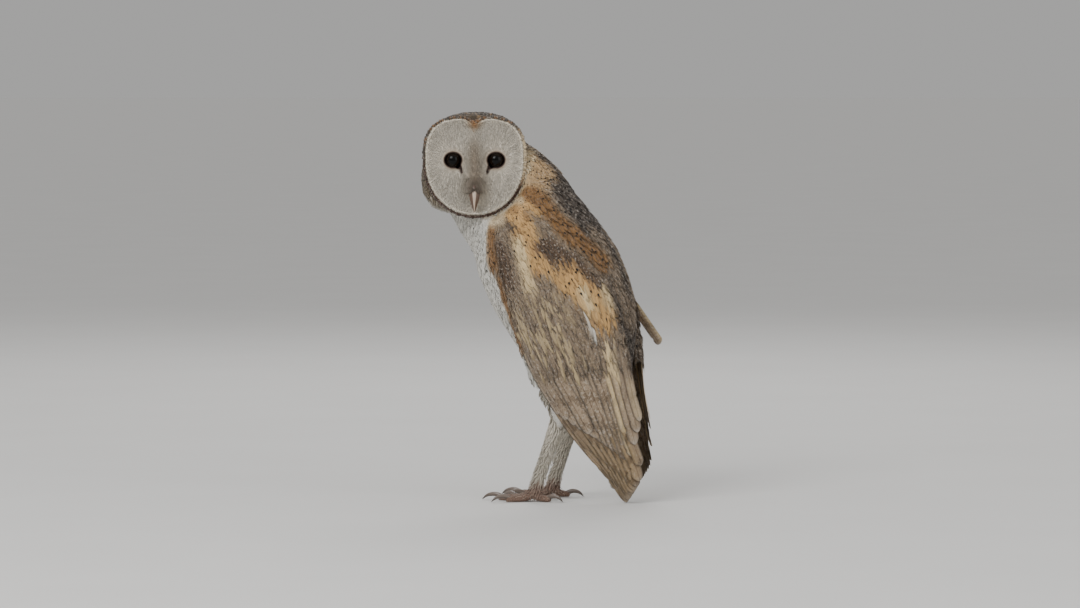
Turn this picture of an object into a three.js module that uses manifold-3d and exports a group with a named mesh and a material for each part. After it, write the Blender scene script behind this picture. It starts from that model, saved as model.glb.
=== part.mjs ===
// A barn owl, life size, standing with its head turned over its left shoulder.
// Millimetres, +Z up. The body faces -Y, its left side is +X, and it stands on Z = 0.
import * as THREE from "three";
import { mergeVertices } from "three/addons/utils/BufferGeometryUtils.js";
import Module from "manifold-3d";

const wasm = await Module();
wasm.setup();

// ---------------------------------------------------------------- driving dimensions

const GAP = 0.35; // between neighbouring pieces

const HEAD_TURN = 110; // degrees, to the owl's left
const HEAD_CENTRE = { x: 12, y: -58, z: 303 }; // middle of the skull, which stays over the neck
const SKULL = { side: 47.5, above: 46, below: 47, back: 44 };
const SKULL_SHIFT = { side: 1, up: 1 }; // of the skull's outline, from its middle
const NECK_SWELL = { reach: 11, turn: 221, spread: 27 }; // the side of the neck that the turned head pushes out
const DISC_WIDTH = 90; // facial disc, rim to rim
const DISC_ABOVE = 38.5; // from the eye line up to the rim
const DISC_BELOW = 50.5; // from the eye line down to the rim
const DISC_FRONT = 30; // the rim, in front of the middle of the skull
const DISC_DEPTH = 13;
const DISC_BOWL = 9.5; // depth of the dishes round the eyes, behind the rim
const DISC_RIDGE = 14.5; // of the ridge between them, from the bottom of the dishes
const EYE_LINE = 3; // above the middle of the skull
const EYE_SPACING = 38.5;
const EYE_RADIUS = 8.6;
const EYE_DEPTH = 14; // of the eye's middle, behind the rim
const BILL_LENGTH = 22;
const BILL_NARROW = 0.8; // both halves of the bill are narrower than they are deep

const LEG_SPACING = { foot: 46, ankle: 38 };
const FOOT_JOINT = { y: 3, z: 10 };
const ANKLE = { y: 26, z: 76 };
const KNEE = { y: 26, z: 112 }; // inside the belly's plumage
const TOES = {
  inner: { turn: -27, reach: 29, claw: 14 },
  middle: { turn: 2, reach: 34, claw: 15 },
  outer: { turn: 38, reach: 27, claw: 13 },
  hind: { turn: 170, reach: 17, claw: 12 },
};
const TOE_RADIUS = 3.9;
const CLAW_RADIUS = 2.3;

const WING_DEPTH = 9; // at the wrist, thinning to the tips
const TIP_DEPTH = 2.4;
const TAIL = { from: [0, 60, 96], to: [0, 76, 9], width: 36, depth: 7 };
const STRAY_QUILL = { from: [-30, 66, 190], to: [-37, 101, 140], width: 11, depth: 1.8 };

// Stations down the plumage, wings folded. Each gives the middle of a section (y, z), and how far it reaches to either
// side, to the front and to the back of that middle, square to the bent axis. The wing lies from lead to trail, in
// degrees round the section from its front, and quill is where the secondaries give way to the primaries.
const PLUMAGE = {
  neck: { y: -33, z: 268, side: 40, front: 50, back: 52, lead: 72, quill: 80, trail: 128 },
  shoulder: { y: -8, z: 236, side: 57, front: 62, back: 56, lead: 70, quill: 80, trail: 136 },
  chest: { y: 13, z: 200, side: 61, front: 63, back: 63, lead: 61, quill: 70, trail: 142 },
  flank: { y: 30, z: 162, side: 59, front: 60, back: 64, lead: 40, quill: 46, trail: 150 },
  thigh: { y: 44, z: 124, side: 52, front: 54, back: 53, lead: 32, quill: 40, trail: 158 },
  vent: { y: 58, z: 86, side: 41, front: 47, back: 41, lead: 38, quill: 70, trail: 163 },
  tail: { y: 71, z: 52, side: 30, front: 34, back: 37, lead: 38, quill: 118, trail: 164 },
  tips: { y: 83, z: 22, side: 19, front: 19, back: 31, lead: 38, quill: 160, trail: 164 },
  end: { y: 90, z: -2, side: 12, front: 8, back: 14, lead: 38, quill: 164, trail: 164 },
};

// The same for the body alone, which closes at the root of the tail.
const BODY = {
  crown: { y: -60, z: 318, side: 14, front: 24, back: 36 },
  nape: { y: -49, z: 294, side: 24, front: 50, back: 50 },
  neck: { y: -33, z: 268, side: 33, front: 53, back: 58 },
  collar: { y: -20, z: 252, side: 47, front: 54, back: 57 },
  shoulder: { y: -8, z: 236, side: 56, front: 60, back: 56 },
  chest: { y: 13, z: 200, side: 61, front: 63, back: 63 },
  flank: { y: 30, z: 162, side: 56, front: 57, back: 61 },
  thigh: { y: 43, z: 126, side: 44, front: 46, back: 48 },
  vent: { y: 54, z: 98, side: 28, front: 30, back: 33 },
  root: { y: 60, z: 80, side: 15, front: 13, back: 20 },
};

const COVERTS = { start: 0.09, end: 0.475 }; // along the plumage, from 0 at the neck to 1 at the end
const SECONDARIES_END = 0.79;
const PRIMARIES_END = { left: 1, right: 0.955 }; // the left tip is the one that reaches the floor

// ---------------------------------------------------------------- solids and sweeps

const X_AXIS = new THREE.Vector3(1, 0, 0);
const AXIS_LENGTH = 300; // of the plumage's bent axis, near enough to turn a gap into a share of it
const radians = THREE.MathUtils.degToRad;
const lerp = THREE.MathUtils.lerp;
const smooth = (t, from, to) => THREE.MathUtils.smoothstep(t, from, to);

// A closed geometry as a solid, turned right side out.
function solid(geometry) {
  const bare = geometry.clone();
  bare.deleteAttribute("normal");
  bare.deleteAttribute("uv");
  const merged = mergeVertices(bare, 1e-4);
  const vertProperties = new Float32Array(merged.attributes.position.array);
  const triVerts = new Uint32Array(merged.index.array);
  const made = new wasm.Manifold(new wasm.Mesh({ numProp: 3, vertProperties, triVerts }));
  if (made.volume() > 0) return made.asOriginal();
  for (let i = 0; i < triVerts.length; i += 3) {
    [triVerts[i + 1], triVerts[i + 2]] = [triVerts[i + 2], triVerts[i + 1]];
  }
  return new wasm.Manifold(new wasm.Mesh({ numProp: 3, vertProperties, triVerts })).asOriginal();
}

function geometryOf(made) {
  const mesh = made.getMesh();
  const places = new Float32Array(mesh.numVert * 3);
  for (let i = 0; i < mesh.numVert; i++) {
    places.set(mesh.vertProperties.subarray(i * mesh.numProp, i * mesh.numProp + 3), i * 3);
  }
  const geometry = new THREE.BufferGeometry();
  geometry.setAttribute("position", new THREE.BufferAttribute(places, 3));
  geometry.setIndex(new THREE.BufferAttribute(new Uint32Array(mesh.triVerts), 1));
  return geometry;
}

const joined = (solids) => solids.reduce((all, one) => all.add(one));

// The biggest of the bodies that a cut leaves.
const largest = (made) => made.decompose().sort((a, b) => b.volume() - a.volume())[0];

// Both halves of a solid on either side of a plane through a point, a gap apart: the normal's side comes first.
function parted(made, normal, point) {
  const n = normal.clone().normalize();
  const offset = n.dot(point);
  return [
    made.trimByPlane(n.toArray(), offset + GAP / 2),
    made.trimByPlane(n.clone().negate().toArray(), -offset + GAP / 2),
  ];
}

// Moves every vertex of a geometry to place(x, y, z).
function reshape(geometry, place) {
  const position = geometry.getAttribute("position");
  for (let i = 0; i < position.count; i++) {
    const p = place(position.getX(i), position.getY(i), position.getZ(i));
    position.setXYZ(i, p.x, p.y, p.z);
  }
  return geometry;
}

// The bent axis and the sections of a set of stations, for t from 0 at the first of them to 1 at the last.
function stationed(stations) {
  const rows = Object.values(stations);
  const curve = (of) => new THREE.CatmullRomCurve3(rows.map((row) => new THREE.Vector3(...of(row))));
  const axis = curve((s) => [0, s.y, s.z]);
  const reaches = curve((s) => [s.side, s.front, s.back]);
  const edges = curve((s) => [s.lead ?? 0, s.quill ?? 0, s.trail ?? 0]);
  const names = Object.keys(stations);
  return {
    of: (name) => names.indexOf(name) / (names.length - 1),
    at(t) {
      const along = axis.getTangent(t);
      const back = new THREE.Vector3().crossVectors(X_AXIS, along).normalize();
      if (back.y < 0) back.negate();
      const reach = reaches.getPoint(t);
      const edge = edges.getPoint(t);
      return {
        middle: axis.getPoint(t),
        along,
        back,
        side: reach.x,
        front: reach.y,
        rear: reach.z,
        lead: edge.x,
        quill: edge.y,
        trail: edge.z,
      };
    },
  };
}

// A point of a section: turn is 0 at the front, 90 at the owl's left and 180 at the back; inset is the depth below the
// surface, and share runs from the middle out to the surface.
function onSection(section, turn, inset = 0, share = 1) {
  const a = radians(turn);
  const depth = (Math.cos(a) > 0 ? section.front : section.rear) - inset;
  return section.middle
    .clone()
    .addScaledVector(X_AXIS, Math.sin(a) * (section.side - inset) * share)
    .addScaledVector(section.back, -Math.cos(a) * depth * share);
}

// A closed body swept through stations.
function torso(frame, ring, rows, grow = 0) {
  const barrel = new THREE.CylinderGeometry(1, 1, 1, ring, rows);
  return solid(
    reshape(barrel, (x, y, z) => {
      const turn = THREE.MathUtils.radToDeg(Math.atan2(x, z));
      return onSection(frame.at(0.5 - y), turn, -grow, Math.min(1, Math.hypot(x, z)));
    }),
  );
}

// A round limb through the given points, with a radius at each.
function limb(points, radii, ring, rows, grow = 0) {
  const line = new THREE.CatmullRomCurve3(points.map((p) => new THREE.Vector3(...p)));
  const width = new THREE.CatmullRomCurve3(radii.map((r) => new THREE.Vector3(r, 0, 0)));
  const frames = line.computeFrenetFrames(rows);
  const barrel = new THREE.CylinderGeometry(1, 1, 1, ring, rows);
  return solid(
    reshape(barrel, (x, y, z) => {
      const row = Math.round((0.5 - y) * rows);
      const radius = Math.max(0.3, width.getPoint(row / rows).x) + grow;
      const end = row === 0 ? -grow : row === rows ? grow : 0;
      return line
        .getPointAt(row / rows)
        .addScaledVector(frames.tangents[row], end)
        .addScaledVector(frames.normals[row], x * radius)
        .addScaledVector(frames.binormals[row], z * radius);
    }),
  );
}

// A curved slab of the plumage: it covers t from start to end, and the turns from lead to trail of each section, down
// to a depth. side is 1 for the left and -1 for the right. raise lifts its outer face, for a slab that only cuts.
function slab(frame, { start, end, lead, trail, depth, side, grow = 0, raise = 0, rows = 8 }) {
  const more = grow / AXIS_LENGTH;
  const block = new THREE.BoxGeometry(1, 1, 1, rows, 6, 1);
  return solid(
    reshape(block, (x, y, z) => {
      const t = lerp(start - more, end + more, x + 0.5);
      const section = frame.at(THREE.MathUtils.clamp(t, 0, 1));
      const spare = THREE.MathUtils.radToDeg(grow / Math.max(10, section.side));
      const turn = lerp(lead(section) - spare, trail(section) + spare, y + 0.5);
      return onSection(section, side * turn, z > 0 ? -grow - raise : depth(t) + grow);
    }),
  );
}

// A flat vane from one point to another, narrower at its root and rounded at its tip.
function vane({ from, to, width, depth }) {
  const start = new THREE.Vector3(...from);
  const along = new THREE.Vector3(...to).sub(start);
  const out = new THREE.Vector3().crossVectors(X_AXIS, along).normalize();
  const block = new THREE.BoxGeometry(1, 1, 1, 7, 6, 1);
  return solid(
    reshape(block, (x, y, z) => {
      const t = x + 0.5;
      const tip = smooth(t, 0.6, 1) * (1 - Math.sqrt(Math.max(0, 1 - 3.6 * y * y)));
      return start
        .clone()
        .addScaledVector(along, t - 0.12 * tip)
        .addScaledVector(X_AXIS, width * lerp(0.7, 1, smooth(t, 0, 0.6)) * y)
        .addScaledVector(out, depth * lerp(1, 0.4, t) * z);
    }),
  );
}

// ---------------------------------------------------------------- the owl

const owl = new THREE.Group();

const FINISH = {
  tawny: { color: 0xa9834f, roughness: 0.9, metalness: 0 },
  grey: { color: 0x7d7064, roughness: 0.9, metalness: 0 },
  white: { color: 0xd9d6ce, roughness: 0.9, metalness: 0 },
  face: { color: 0xcfc8bd, roughness: 0.9, metalness: 0 },
  eye: { color: 0x120c09, roughness: 0.08, metalness: 0 },
  horn: { color: 0xc9b3a2, roughness: 0.4, metalness: 0 },
  toe: { color: 0x8a6a58, roughness: 0.7, metalness: 0 },
  claw: { color: 0x4a3f3a, roughness: 0.35, metalness: 0 },
};

function add(name, made, finish) {
  const mesh = new THREE.Mesh(geometryOf(made), new THREE.MeshStandardMaterial(FINISH[finish]));
  mesh.name = name;
  owl.add(mesh);
}

const plumage = stationed(PLUMAGE);
const body = stationed(BODY);

// ---- head: skull, facial disc, eyes and bill, facing -Y before it is turned

const headPlace = new THREE.Matrix4()
  .makeRotationZ(radians(HEAD_TURN))
  .setPosition(HEAD_CENTRE.x, HEAD_CENTRE.y, HEAD_CENTRE.z);
const placed = (geometry) => solid(geometry.applyMatrix4(headPlace));

// The radius, at an angle, of an outline that is side wide and reaches above and below, squarer for a higher power.
function outline(angle, side, above, below, powerAbove, powerBelow) {
  const c = Math.cos(angle);
  const s = Math.sin(angle);
  const power = s > 0 ? powerAbove : powerBelow;
  return (Math.abs(c / side) ** power + Math.abs(s / (s > 0 ? above : below)) ** power) ** (-1 / power);
}

// The disc's rim about the eye line: square shouldered above, with a notch over the bill, and round below.
function discRim(angle) {
  const NOTCH = 5;
  const radius = outline(angle, DISC_WIDTH / 2, DISC_ABOVE, DISC_BELOW, 3.1, 2.1);
  const across = Math.cos(angle) * radius;
  return Math.sin(angle) > 0 ? radius - NOTCH * Math.exp(-(across ** 2) / 60) : radius;
}

// How far the face stands back (+) from the rim's plane or forward (-) of it: a bowl, with a ridge down to the bill.
function faceRelief(x, z, share) {
  const RIDGE_WIDTH = 9;
  const down = (1 - smooth(z, 0, 30)) * smooth(z, -46, -28);
  const ridge = DISC_RIDGE * Math.exp(-((x / RIDGE_WIDTH) ** 2)) * down;
  return DISC_BOWL * (1 - share ** 3) - ridge;
}

function facialDisc(grow = 0) {
  const block = new THREE.BoxGeometry(2, 1, 2, 14, 1, 12);
  return placed(
    reshape(block, (x, y, z) => {
      const share = Math.max(Math.abs(x), Math.abs(z));
      const angle = Math.atan2(z, x);
      const inFront = y < 0;
      const radius = (discRim(angle) + grow) * share * (inFront ? 1 : 0.93);
      const across = radius * Math.cos(angle);
      const up = radius * Math.sin(angle);
      const depth = inFront ? faceRelief(across, up, share) - grow : DISC_DEPTH + grow;
      return new THREE.Vector3(across, depth - DISC_FRONT, up + EYE_LINE);
    }),
  );
}

// The space of the disc and everything in front of it, which the skull and the neck keep clear of.
function outlook() {
  const REACH = 60;
  const barrel = new THREE.CylinderGeometry(1, 1, 1, 40, 1);
  return placed(
    reshape(barrel, (x, y, z) => {
      const angle = Math.atan2(z, x);
      const radius = Math.hypot(x, z) < 0.5 ? 0 : discRim(angle) + GAP;
      const depth = y < 0 ? -REACH : DISC_DEPTH + GAP;
      return new THREE.Vector3(radius * Math.cos(angle), depth - DISC_FRONT, radius * Math.sin(angle) + EYE_LINE);
    }),
  );
}

// The skull's plumage behind the disc, closed over the back of the head.
function skull(grow = 0) {
  const AT_DISC = 0.92; // how much of its width is left at the disc
  const ball = new THREE.SphereGeometry(1, 24, 12);
  return placed(
    reshape(ball, (x, y, z) => {
      const angle = Math.atan2(z, x);
      const ring = Math.hypot(x, z);
      const turn = (THREE.MathUtils.radToDeg(angle) + 360) % 360;
      const swell = NECK_SWELL.reach * Math.exp(-(((turn - NECK_SWELL.turn) / NECK_SWELL.spread) ** 2));
      const width = outline(angle, SKULL.side, SKULL.above, SKULL.below, 2.5, 2.1) + swell + grow;
      const radius = width * (y > 0 ? ring ** 0.8 : Math.min(1, ring * 1.6) * lerp(1, AT_DISC, -y));
      const depth = y * ((y > 0 ? SKULL.back : DISC_FRONT - 4) + grow);
      return new THREE.Vector3(
        radius * Math.cos(angle) + SKULL_SHIFT.side,
        depth,
        radius * Math.sin(angle) + SKULL_SHIFT.up,
      );
    }),
  );
}

function eyeball(side, grow = 0) {
  const ball = new THREE.SphereGeometry(EYE_RADIUS + grow, 12, 9);
  return placed(ball.translate((side * EYE_SPACING) / 2, EYE_DEPTH - DISC_FRONT, EYE_LINE));
}

// The bill leaves the ridge forwards and hooks down to its tip.
const billTip = EYE_LINE - DISC_BELOW + 4;
const UPPER_BILL = {
  line: [
    [0, -DISC_FRONT + 1, billTip + BILL_LENGTH + 5],
    [0, -DISC_FRONT - 6, billTip + BILL_LENGTH],
    [0, -DISC_FRONT - 9, billTip + BILL_LENGTH * 0.62],
    [0, -DISC_FRONT - 8.4, billTip + BILL_LENGTH * 0.28],
    [0, -DISC_FRONT - 6, billTip],
  ],
  radii: [5.4, 5.2, 4.4, 2.8, 0.6],
};
const LOWER_BILL = {
  line: [
    [0, -DISC_FRONT + 4, billTip + BILL_LENGTH * 0.72],
    [0, -DISC_FRONT - 1, billTip + BILL_LENGTH * 0.5],
    [0, -DISC_FRONT - 3.4, billTip + BILL_LENGTH * 0.2],
  ],
  radii: [3.8, 3.4, 1.2],
};

function bill({ line, radii }, grow = 0) {
  const narrower = new THREE.Matrix4().makeScale(BILL_NARROW, 1, 1);
  return placed(geometryOf(limb(line, radii, 8, 7, grow)).applyMatrix4(narrower));
}

function makeHead() {
  const upperRoom = bill(UPPER_BILL, GAP);
  const room = joined([upperRoom, bill(LOWER_BILL, GAP), eyeball(1, GAP), eyeball(-1, GAP)]);
  add("eye_l", eyeball(1), "eye");
  add("eye_r", eyeball(-1), "eye");
  add("bill_upper", bill(UPPER_BILL), "horn");
  add("bill_lower", largest(bill(LOWER_BILL).subtract(upperRoom)), "horn");
  add("facial_disc", largest(facialDisc().subtract(room)), "face");
  add("cranium", largest(skull().subtract(room).subtract(outlook())), "tawny");
}

// ---- wings: coverts, secondaries and primaries, curved slabs of the plumage

const wingDepth = (t) => lerp(WING_DEPTH, TIP_DEPTH, smooth(t, 0.05, 0.9));
const fromLead = (section) => section.lead;
const toTrail = (section) => section.trail;

function coverts(side, { grow = 0, raise = 0 } = {}) {
  const [start, end] = [COVERTS.start, COVERTS.end - GAP / 2 / AXIS_LENGTH];
  return slab(plumage, { start, end, lead: fromLead, trail: toTrail, depth: wingDepth, side, grow, raise });
}

// Secondaries and primaries in one piece.
function quills(side, { grow = 0, raise = 0 } = {}) {
  const start = COVERTS.end + GAP / 2 / AXIS_LENGTH;
  const end = side > 0 ? PRIMARIES_END.left : PRIMARIES_END.right;
  return slab(plumage, { start, end, lead: fromLead, trail: toTrail, depth: wingDepth, side, grow, raise, rows: 12 });
}

// The part of the wing that the secondaries take, with some room round it for the primaries' own cut.
function overQuills(side, room) {
  const spare = THREE.MathUtils.radToDeg(room / PLUMAGE.vent.side) * 1.4; // the line between them runs aslant
  return slab(plumage, {
    start: COVERTS.end - 0.03,
    end: SECONDARIES_END + room / AXIS_LENGTH,
    lead: (section) => section.quill - spare,
    trail: (section) => section.trail + 14,
    depth: (t) => wingDepth(t) + 4,
    raise: 4,
    side,
  });
}

// Both wings with a gap all round, and up to a raised outer face where they cut what is just as wide.
const wingRoom = (raise) =>
  joined([1, -1].flatMap((side) => [coverts, quills].map((made) => made(side, { grow: GAP, raise }))));

function makeWing(side) {
  const hand = side > 0 ? "l" : "r";
  const primaries = quills(side).subtract(overQuills(side, GAP)).trimByPlane([0, 0, 1], 0);
  add(`wing_${hand}_coverts`, coverts(side), "grey");
  add(`wing_${hand}_secondaries`, largest(quills(side).intersect(overQuills(side, 0))), "grey");
  add(`wing_${hand}_primaries`, largest(primaries), "tawny");
}

// ---- trunk: neck, breast, belly, mantle and rump, parted by thin cuts

function makeTrunk() {
  const whole = torso(body, 24, 18).subtract(wingRoom(6));
  const neckCut = body.at(body.of("shoulder") - 0.06);
  const waist = body.at(body.of("flank") + 0.02);
  const [lowerPart, neck] = parted(whole, neckCut.along, neckCut.middle);
  const [lowest, upper] = parted(lowerPart, waist.along, waist.middle);
  const [mantle, breast] = parted(upper, neckCut.back.clone().add(waist.back), new THREE.Vector3(0, 12, 205));
  const [rump, belly] = parted(lowest, waist.back, waist.middle.clone().addScaledVector(waist.back, 6));
  add("neck", largest(neck.subtract(skull(GAP)).subtract(outlook())), "white");
  add("mantle", largest(mantle), "grey");
  add("breast", largest(breast), "white");
  add("rump", largest(rump), "grey");
  add("belly", largest(belly), "white");
}

// ---- tail, and the quill that stands out of the right wing

function makeQuills() {
  const room = joined([wingRoom(0), torso(body, 24, 18, GAP)]);
  add("tail", largest(vane(TAIL).subtract(room)), "grey");
  add("stray_quill_r", largest(vane(STRAY_QUILL).subtract(room)), "grey");
}

// ---- legs: feathered thighs and shanks, four toes and four claws a foot

const footX = (side) => (side * LEG_SPACING.foot) / 2;
const ankleX = (side) => (side * LEG_SPACING.ankle) / 2;

function shank(side, grow = 0) {
  const halfway = [footX(side) + ankleX(side), FOOT_JOINT.y + ANKLE.y, FOOT_JOINT.z + ANKLE.z].map((sum) => sum / 2);
  const line = [
    [footX(side), FOOT_JOINT.y, FOOT_JOINT.z - 5],
    [footX(side), FOOT_JOINT.y + 2, FOOT_JOINT.z + 5],
    halfway,
    [ankleX(side), ANKLE.y, ANKLE.z],
  ];
  return limb(line, [6.2, 6.4, 6.6, 8.2], 10, 5, grow).trimByPlane([0, 0, 1], 3);
}

function drumstick(side) {
  const line = [
    [ankleX(side), ANKLE.y - 1, ANKLE.z + 1],
    [ankleX(side), ANKLE.y, ANKLE.z + 12],
    [ankleX(side), KNEE.y, KNEE.z],
  ];
  return limb(line, [9.5, 12, 15.5], 10, 3);
}

// A point out from the foot's joint along a toe, at a height.
function toePoint(side, { turn }, distance, height) {
  const a = radians(turn * side);
  return [footX(side) + Math.sin(a) * distance, FOOT_JOINT.y - Math.cos(a) * distance, height];
}

function toe(side, form, grow = 0) {
  const SOLE = 1; // how much of its round underside is flattened on the floor
  const line = [
    toePoint(side, form, 0, FOOT_JOINT.z - 3),
    toePoint(side, form, form.reach * 0.35, TOE_RADIUS + 0.6 - SOLE),
    toePoint(side, form, form.reach * 0.7, TOE_RADIUS - SOLE),
    toePoint(side, form, form.reach, TOE_RADIUS - 0.3 - SOLE),
  ];
  const radii = [TOE_RADIUS + 0.6, TOE_RADIUS, TOE_RADIUS, TOE_RADIUS * 0.75];
  return limb(line, radii, 8, 5, grow).trimByPlane([0, 0, 1], 0);
}

function claw(side, form) {
  const line = [
    toePoint(side, form, form.reach - 3, TOE_RADIUS),
    toePoint(side, form, form.reach + form.claw * 0.32, TOE_RADIUS + 2),
    toePoint(side, form, form.reach + form.claw * 0.74, TOE_RADIUS + 0.6),
    toePoint(side, form, form.reach + form.claw, 1.1),
  ];
  return limb(line, [CLAW_RADIUS, CLAW_RADIUS, CLAW_RADIUS * 0.7, 0.35], 6, 4);
}

function makeLeg(side) {
  const hand = side > 0 ? "l" : "r";
  const room = joined([shank(side, GAP), torso(body, 24, 18, GAP), wingRoom(0)]);
  add(`thigh_${hand}`, largest(drumstick(side).subtract(room)), "white");
  add(`tarsus_${hand}`, largest(shank(side).subtract(wingRoom(0))), "white");
  let taken = shank(side, GAP);
  for (const [name, form] of Object.entries(TOES)) {
    add(`toe_${hand}_${name}`, largest(toe(side, form).subtract(taken)), "toe");
    add(`claw_${hand}_${name}`, largest(claw(side, form).subtract(toe(side, form, GAP))), "claw");
    taken = taken.add(toe(side, form, GAP));
  }
}

makeHead();
makeTrunk();
makeQuills();
for (const side of [1, -1]) {
  makeWing(side);
  makeLeg(side);
}

// The origin is under the middle of the owl, on the floor.
const box = new THREE.Box3().setFromObject(owl);
const middle = box.getCenter(new THREE.Vector3());
owl.position.set(-middle.x, -middle.y, -box.min.z);

export default owl;
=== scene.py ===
"""A barn owl at life size: one skin, and over it a coat of solid feathers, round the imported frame."""

import math
from functools import lru_cache

import bmesh
import bpy
import numpy as np
from bpy.props import FloatProperty, FloatVectorProperty, PointerProperty
from mathutils import Matrix, Vector
from mathutils.bvhtree import BVHTree


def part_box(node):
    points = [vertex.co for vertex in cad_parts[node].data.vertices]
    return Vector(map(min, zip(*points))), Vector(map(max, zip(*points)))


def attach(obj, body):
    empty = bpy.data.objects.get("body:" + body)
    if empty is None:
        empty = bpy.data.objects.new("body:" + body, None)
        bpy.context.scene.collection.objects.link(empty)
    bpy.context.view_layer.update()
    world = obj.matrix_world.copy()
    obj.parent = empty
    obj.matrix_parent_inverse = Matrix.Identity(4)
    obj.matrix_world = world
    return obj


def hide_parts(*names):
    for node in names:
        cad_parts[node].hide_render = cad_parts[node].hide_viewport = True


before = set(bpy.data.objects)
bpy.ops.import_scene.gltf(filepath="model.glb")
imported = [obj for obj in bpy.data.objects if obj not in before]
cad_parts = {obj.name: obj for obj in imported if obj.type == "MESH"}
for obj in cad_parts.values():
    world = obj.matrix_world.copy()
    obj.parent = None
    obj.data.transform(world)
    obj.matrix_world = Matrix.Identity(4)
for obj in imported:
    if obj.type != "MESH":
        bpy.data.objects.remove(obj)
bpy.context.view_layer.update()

bl_info = {
    "name": "Barn owl",
    "version": (1, 0, 0),
    "blender": (4, 5, 0),
    "location": "View3D > Sidebar > Owl",
    "description": "A life-size barn owl with a skin and a coat of solid feathers",
    "category": "Add Mesh",
}

MM = 0.001
UP = np.array((0.0, 0.0, 1.0))
SEED = 11

# ---- the owl's own directions, taken from the frame


def unit(v):
    """Vectors of length 1."""
    v = np.asarray(v, float)
    return v / np.maximum(np.linalg.norm(v, axis=-1, keepdims=True), 1e-12)


def middle_of(node):
    low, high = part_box(node)
    return np.array((low + high) / 2)


EYES = {"l": middle_of("eye_l"), "r": middle_of("eye_r")}
EYES_MIDDLE = (EYES["l"] + EYES["r"]) / 2
ACROSS = unit(EYES["l"] - EYES["r"])  # towards the owl's left
BACKWARD = np.cross(UP, ACROSS)  # away from what it looks at
EYE_RADIUS = (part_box("eye_l")[1].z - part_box("eye_l")[0].z) / 2
EYE_SINK = 14 * MM  # from the rim's plane back to the middle of an eyeball
EYE_SIDE = np.linalg.norm(EYES["l"] - EYES_MIDDLE) / MM  # from the ridge to the middle of an eye, in mm
FACE = EYES_MIDDLE - EYE_SINK * BACKWARD  # the rim's plane, on the eye line
SKULL_MIDDLE = FACE + 30 * MM * BACKWARD - 3 * MM * UP

# The body's middle line from crown to wing tip: name, y and z in mm, where the eyes' middle is at EYES_Y.
# Lengths down it are counted from the nape.
EYES_Y = -52.53
STATIONS = (
    ("crown", -60, 318),
    ("nape", -49, 294),
    ("neck", -33, 268),
    ("collar", -20, 252),
    ("shoulder", -8, 236),
    ("chest", 13, 200),
    ("flank", 30, 162),
    ("thigh", 44, 124),
    ("vent", 58, 86),
    ("tail", 71, 52),
    ("tips", 83, 22),
    ("end", 90, -2),
)
SHIFT_Y = EYES_MIDDLE[1] / MM - EYES_Y


def middle_line():
    """Points of the middle line, 1 mm apart, in mm, and its directions tailwards."""
    knots = np.array([(y + SHIFT_Y, z) for _, y, z in STATIONS], float)
    lengths = np.concatenate([[0], np.cumsum(np.linalg.norm(np.diff(knots, axis=0), axis=1))])
    steps = np.arange(0, lengths[-1], 1.0)
    line = np.stack([np.interp(steps, lengths, knots[:, i]) for i in (0, 1)], 1)
    padded = np.pad(line, ((12, 12), (0, 0)), mode="reflect", reflect_type="odd")
    line = np.stack([np.convolve(padded[:, i], np.ones(25) / 25, "valid") for i in (0, 1)], 1)
    return line, unit(np.gradient(line, axis=0))


LINE, LINE_WAY = middle_line()
ABOVE_NAPE = 26.0

# Along the middle line: (mm down it, value) pairs.
GIRTH = ((0, 50), (71, 62), (113, 64), (154, 62), (195, 54), (235, 43), (272, 34), (304, 22), (329, 12))
WING_LEAD = ((0, 74), (30, 72), (71, 70), (113, 61), (154, 46), (195, 40), (329, 38))
WING_TRAIL = ((0, 124), (30, 128), (71, 136), (113, 142), (154, 150), (195, 158), (235, 163), (329, 164))


def along(table, s):
    """The value of a table at a length down the middle line."""
    return np.interp(s, [row[0] for row in table], [row[1] for row in table])


def places(points):
    """How far down the middle line points are, in mm, and their turn: 0 breast, 90 left, 180 back."""
    flat = points[:, 1:] / MM
    nearest = np.empty(len(points), int)
    at_once = 20000
    for start in range(0, len(points), at_once):
        rows = slice(start, start + at_once)
        gaps = ((flat[rows, None, :] - LINE[None]) ** 2).sum(-1)
        nearest[rows] = gaps.argmin(1)
    away = flat - LINE[nearest]
    way = LINE_WAY[nearest]
    backness = -away[:, 0] * way[:, 1] + away[:, 1] * way[:, 0]
    turn = np.degrees(np.arctan2(points[:, 0] / MM, -backness))
    return nearest - ABOVE_NAPE, turn


def section_way(s, turn):
    """The middle line's point at s, and the way outwards at a turn from the breast, in metres."""
    down = s + ABOVE_NAPE
    index = np.clip(np.round(down).astype(int), 0, len(LINE) - 1)
    beyond = (down - (len(LINE) - 1)).clip(0)
    flat = LINE[index] + LINE_WAY[index] * beyond[:, None]
    way = LINE_WAY[index]
    a = np.radians(turn)
    out = np.stack([np.sin(a), np.cos(a) * way[:, 1], -np.cos(a) * way[:, 0]], 1)
    middle = np.stack([np.zeros(len(s)), flat[:, 0], flat[:, 1]], 1) * MM
    return middle, out


def in_face(points):
    """Points in mm: x to the owl's left, y back from the rim's plane and z up from the eye line."""
    away = (points - FACE) / MM
    return away @ ACROSS, away @ BACKWARD, away @ UP


def from_face(x, y, z):
    sideways, back, up = (np.multiply.outer(v, way) for v, way in ((x, ACROSS), (y, BACKWARD), (z, UP)))
    return FACE + (sideways + back + up) * MM


def from_skull(points):
    """How far points are from the middle of the skull, in mm."""
    return np.linalg.norm(points - SKULL_MIDDLE, axis=1) / MM


def smooth(x, low, high):
    t = np.clip((np.asarray(x, float) - low) / (high - low), 0, 1)
    return t * t * (3 - 2 * t)


def lerp(a, b, t):
    return a + (b - a) * t


def blend(a, b, t):
    """lerp for rows of colours or points, with one share for each row."""
    return lerp(a, b, t[:, None])


# ---- the face's form

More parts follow.
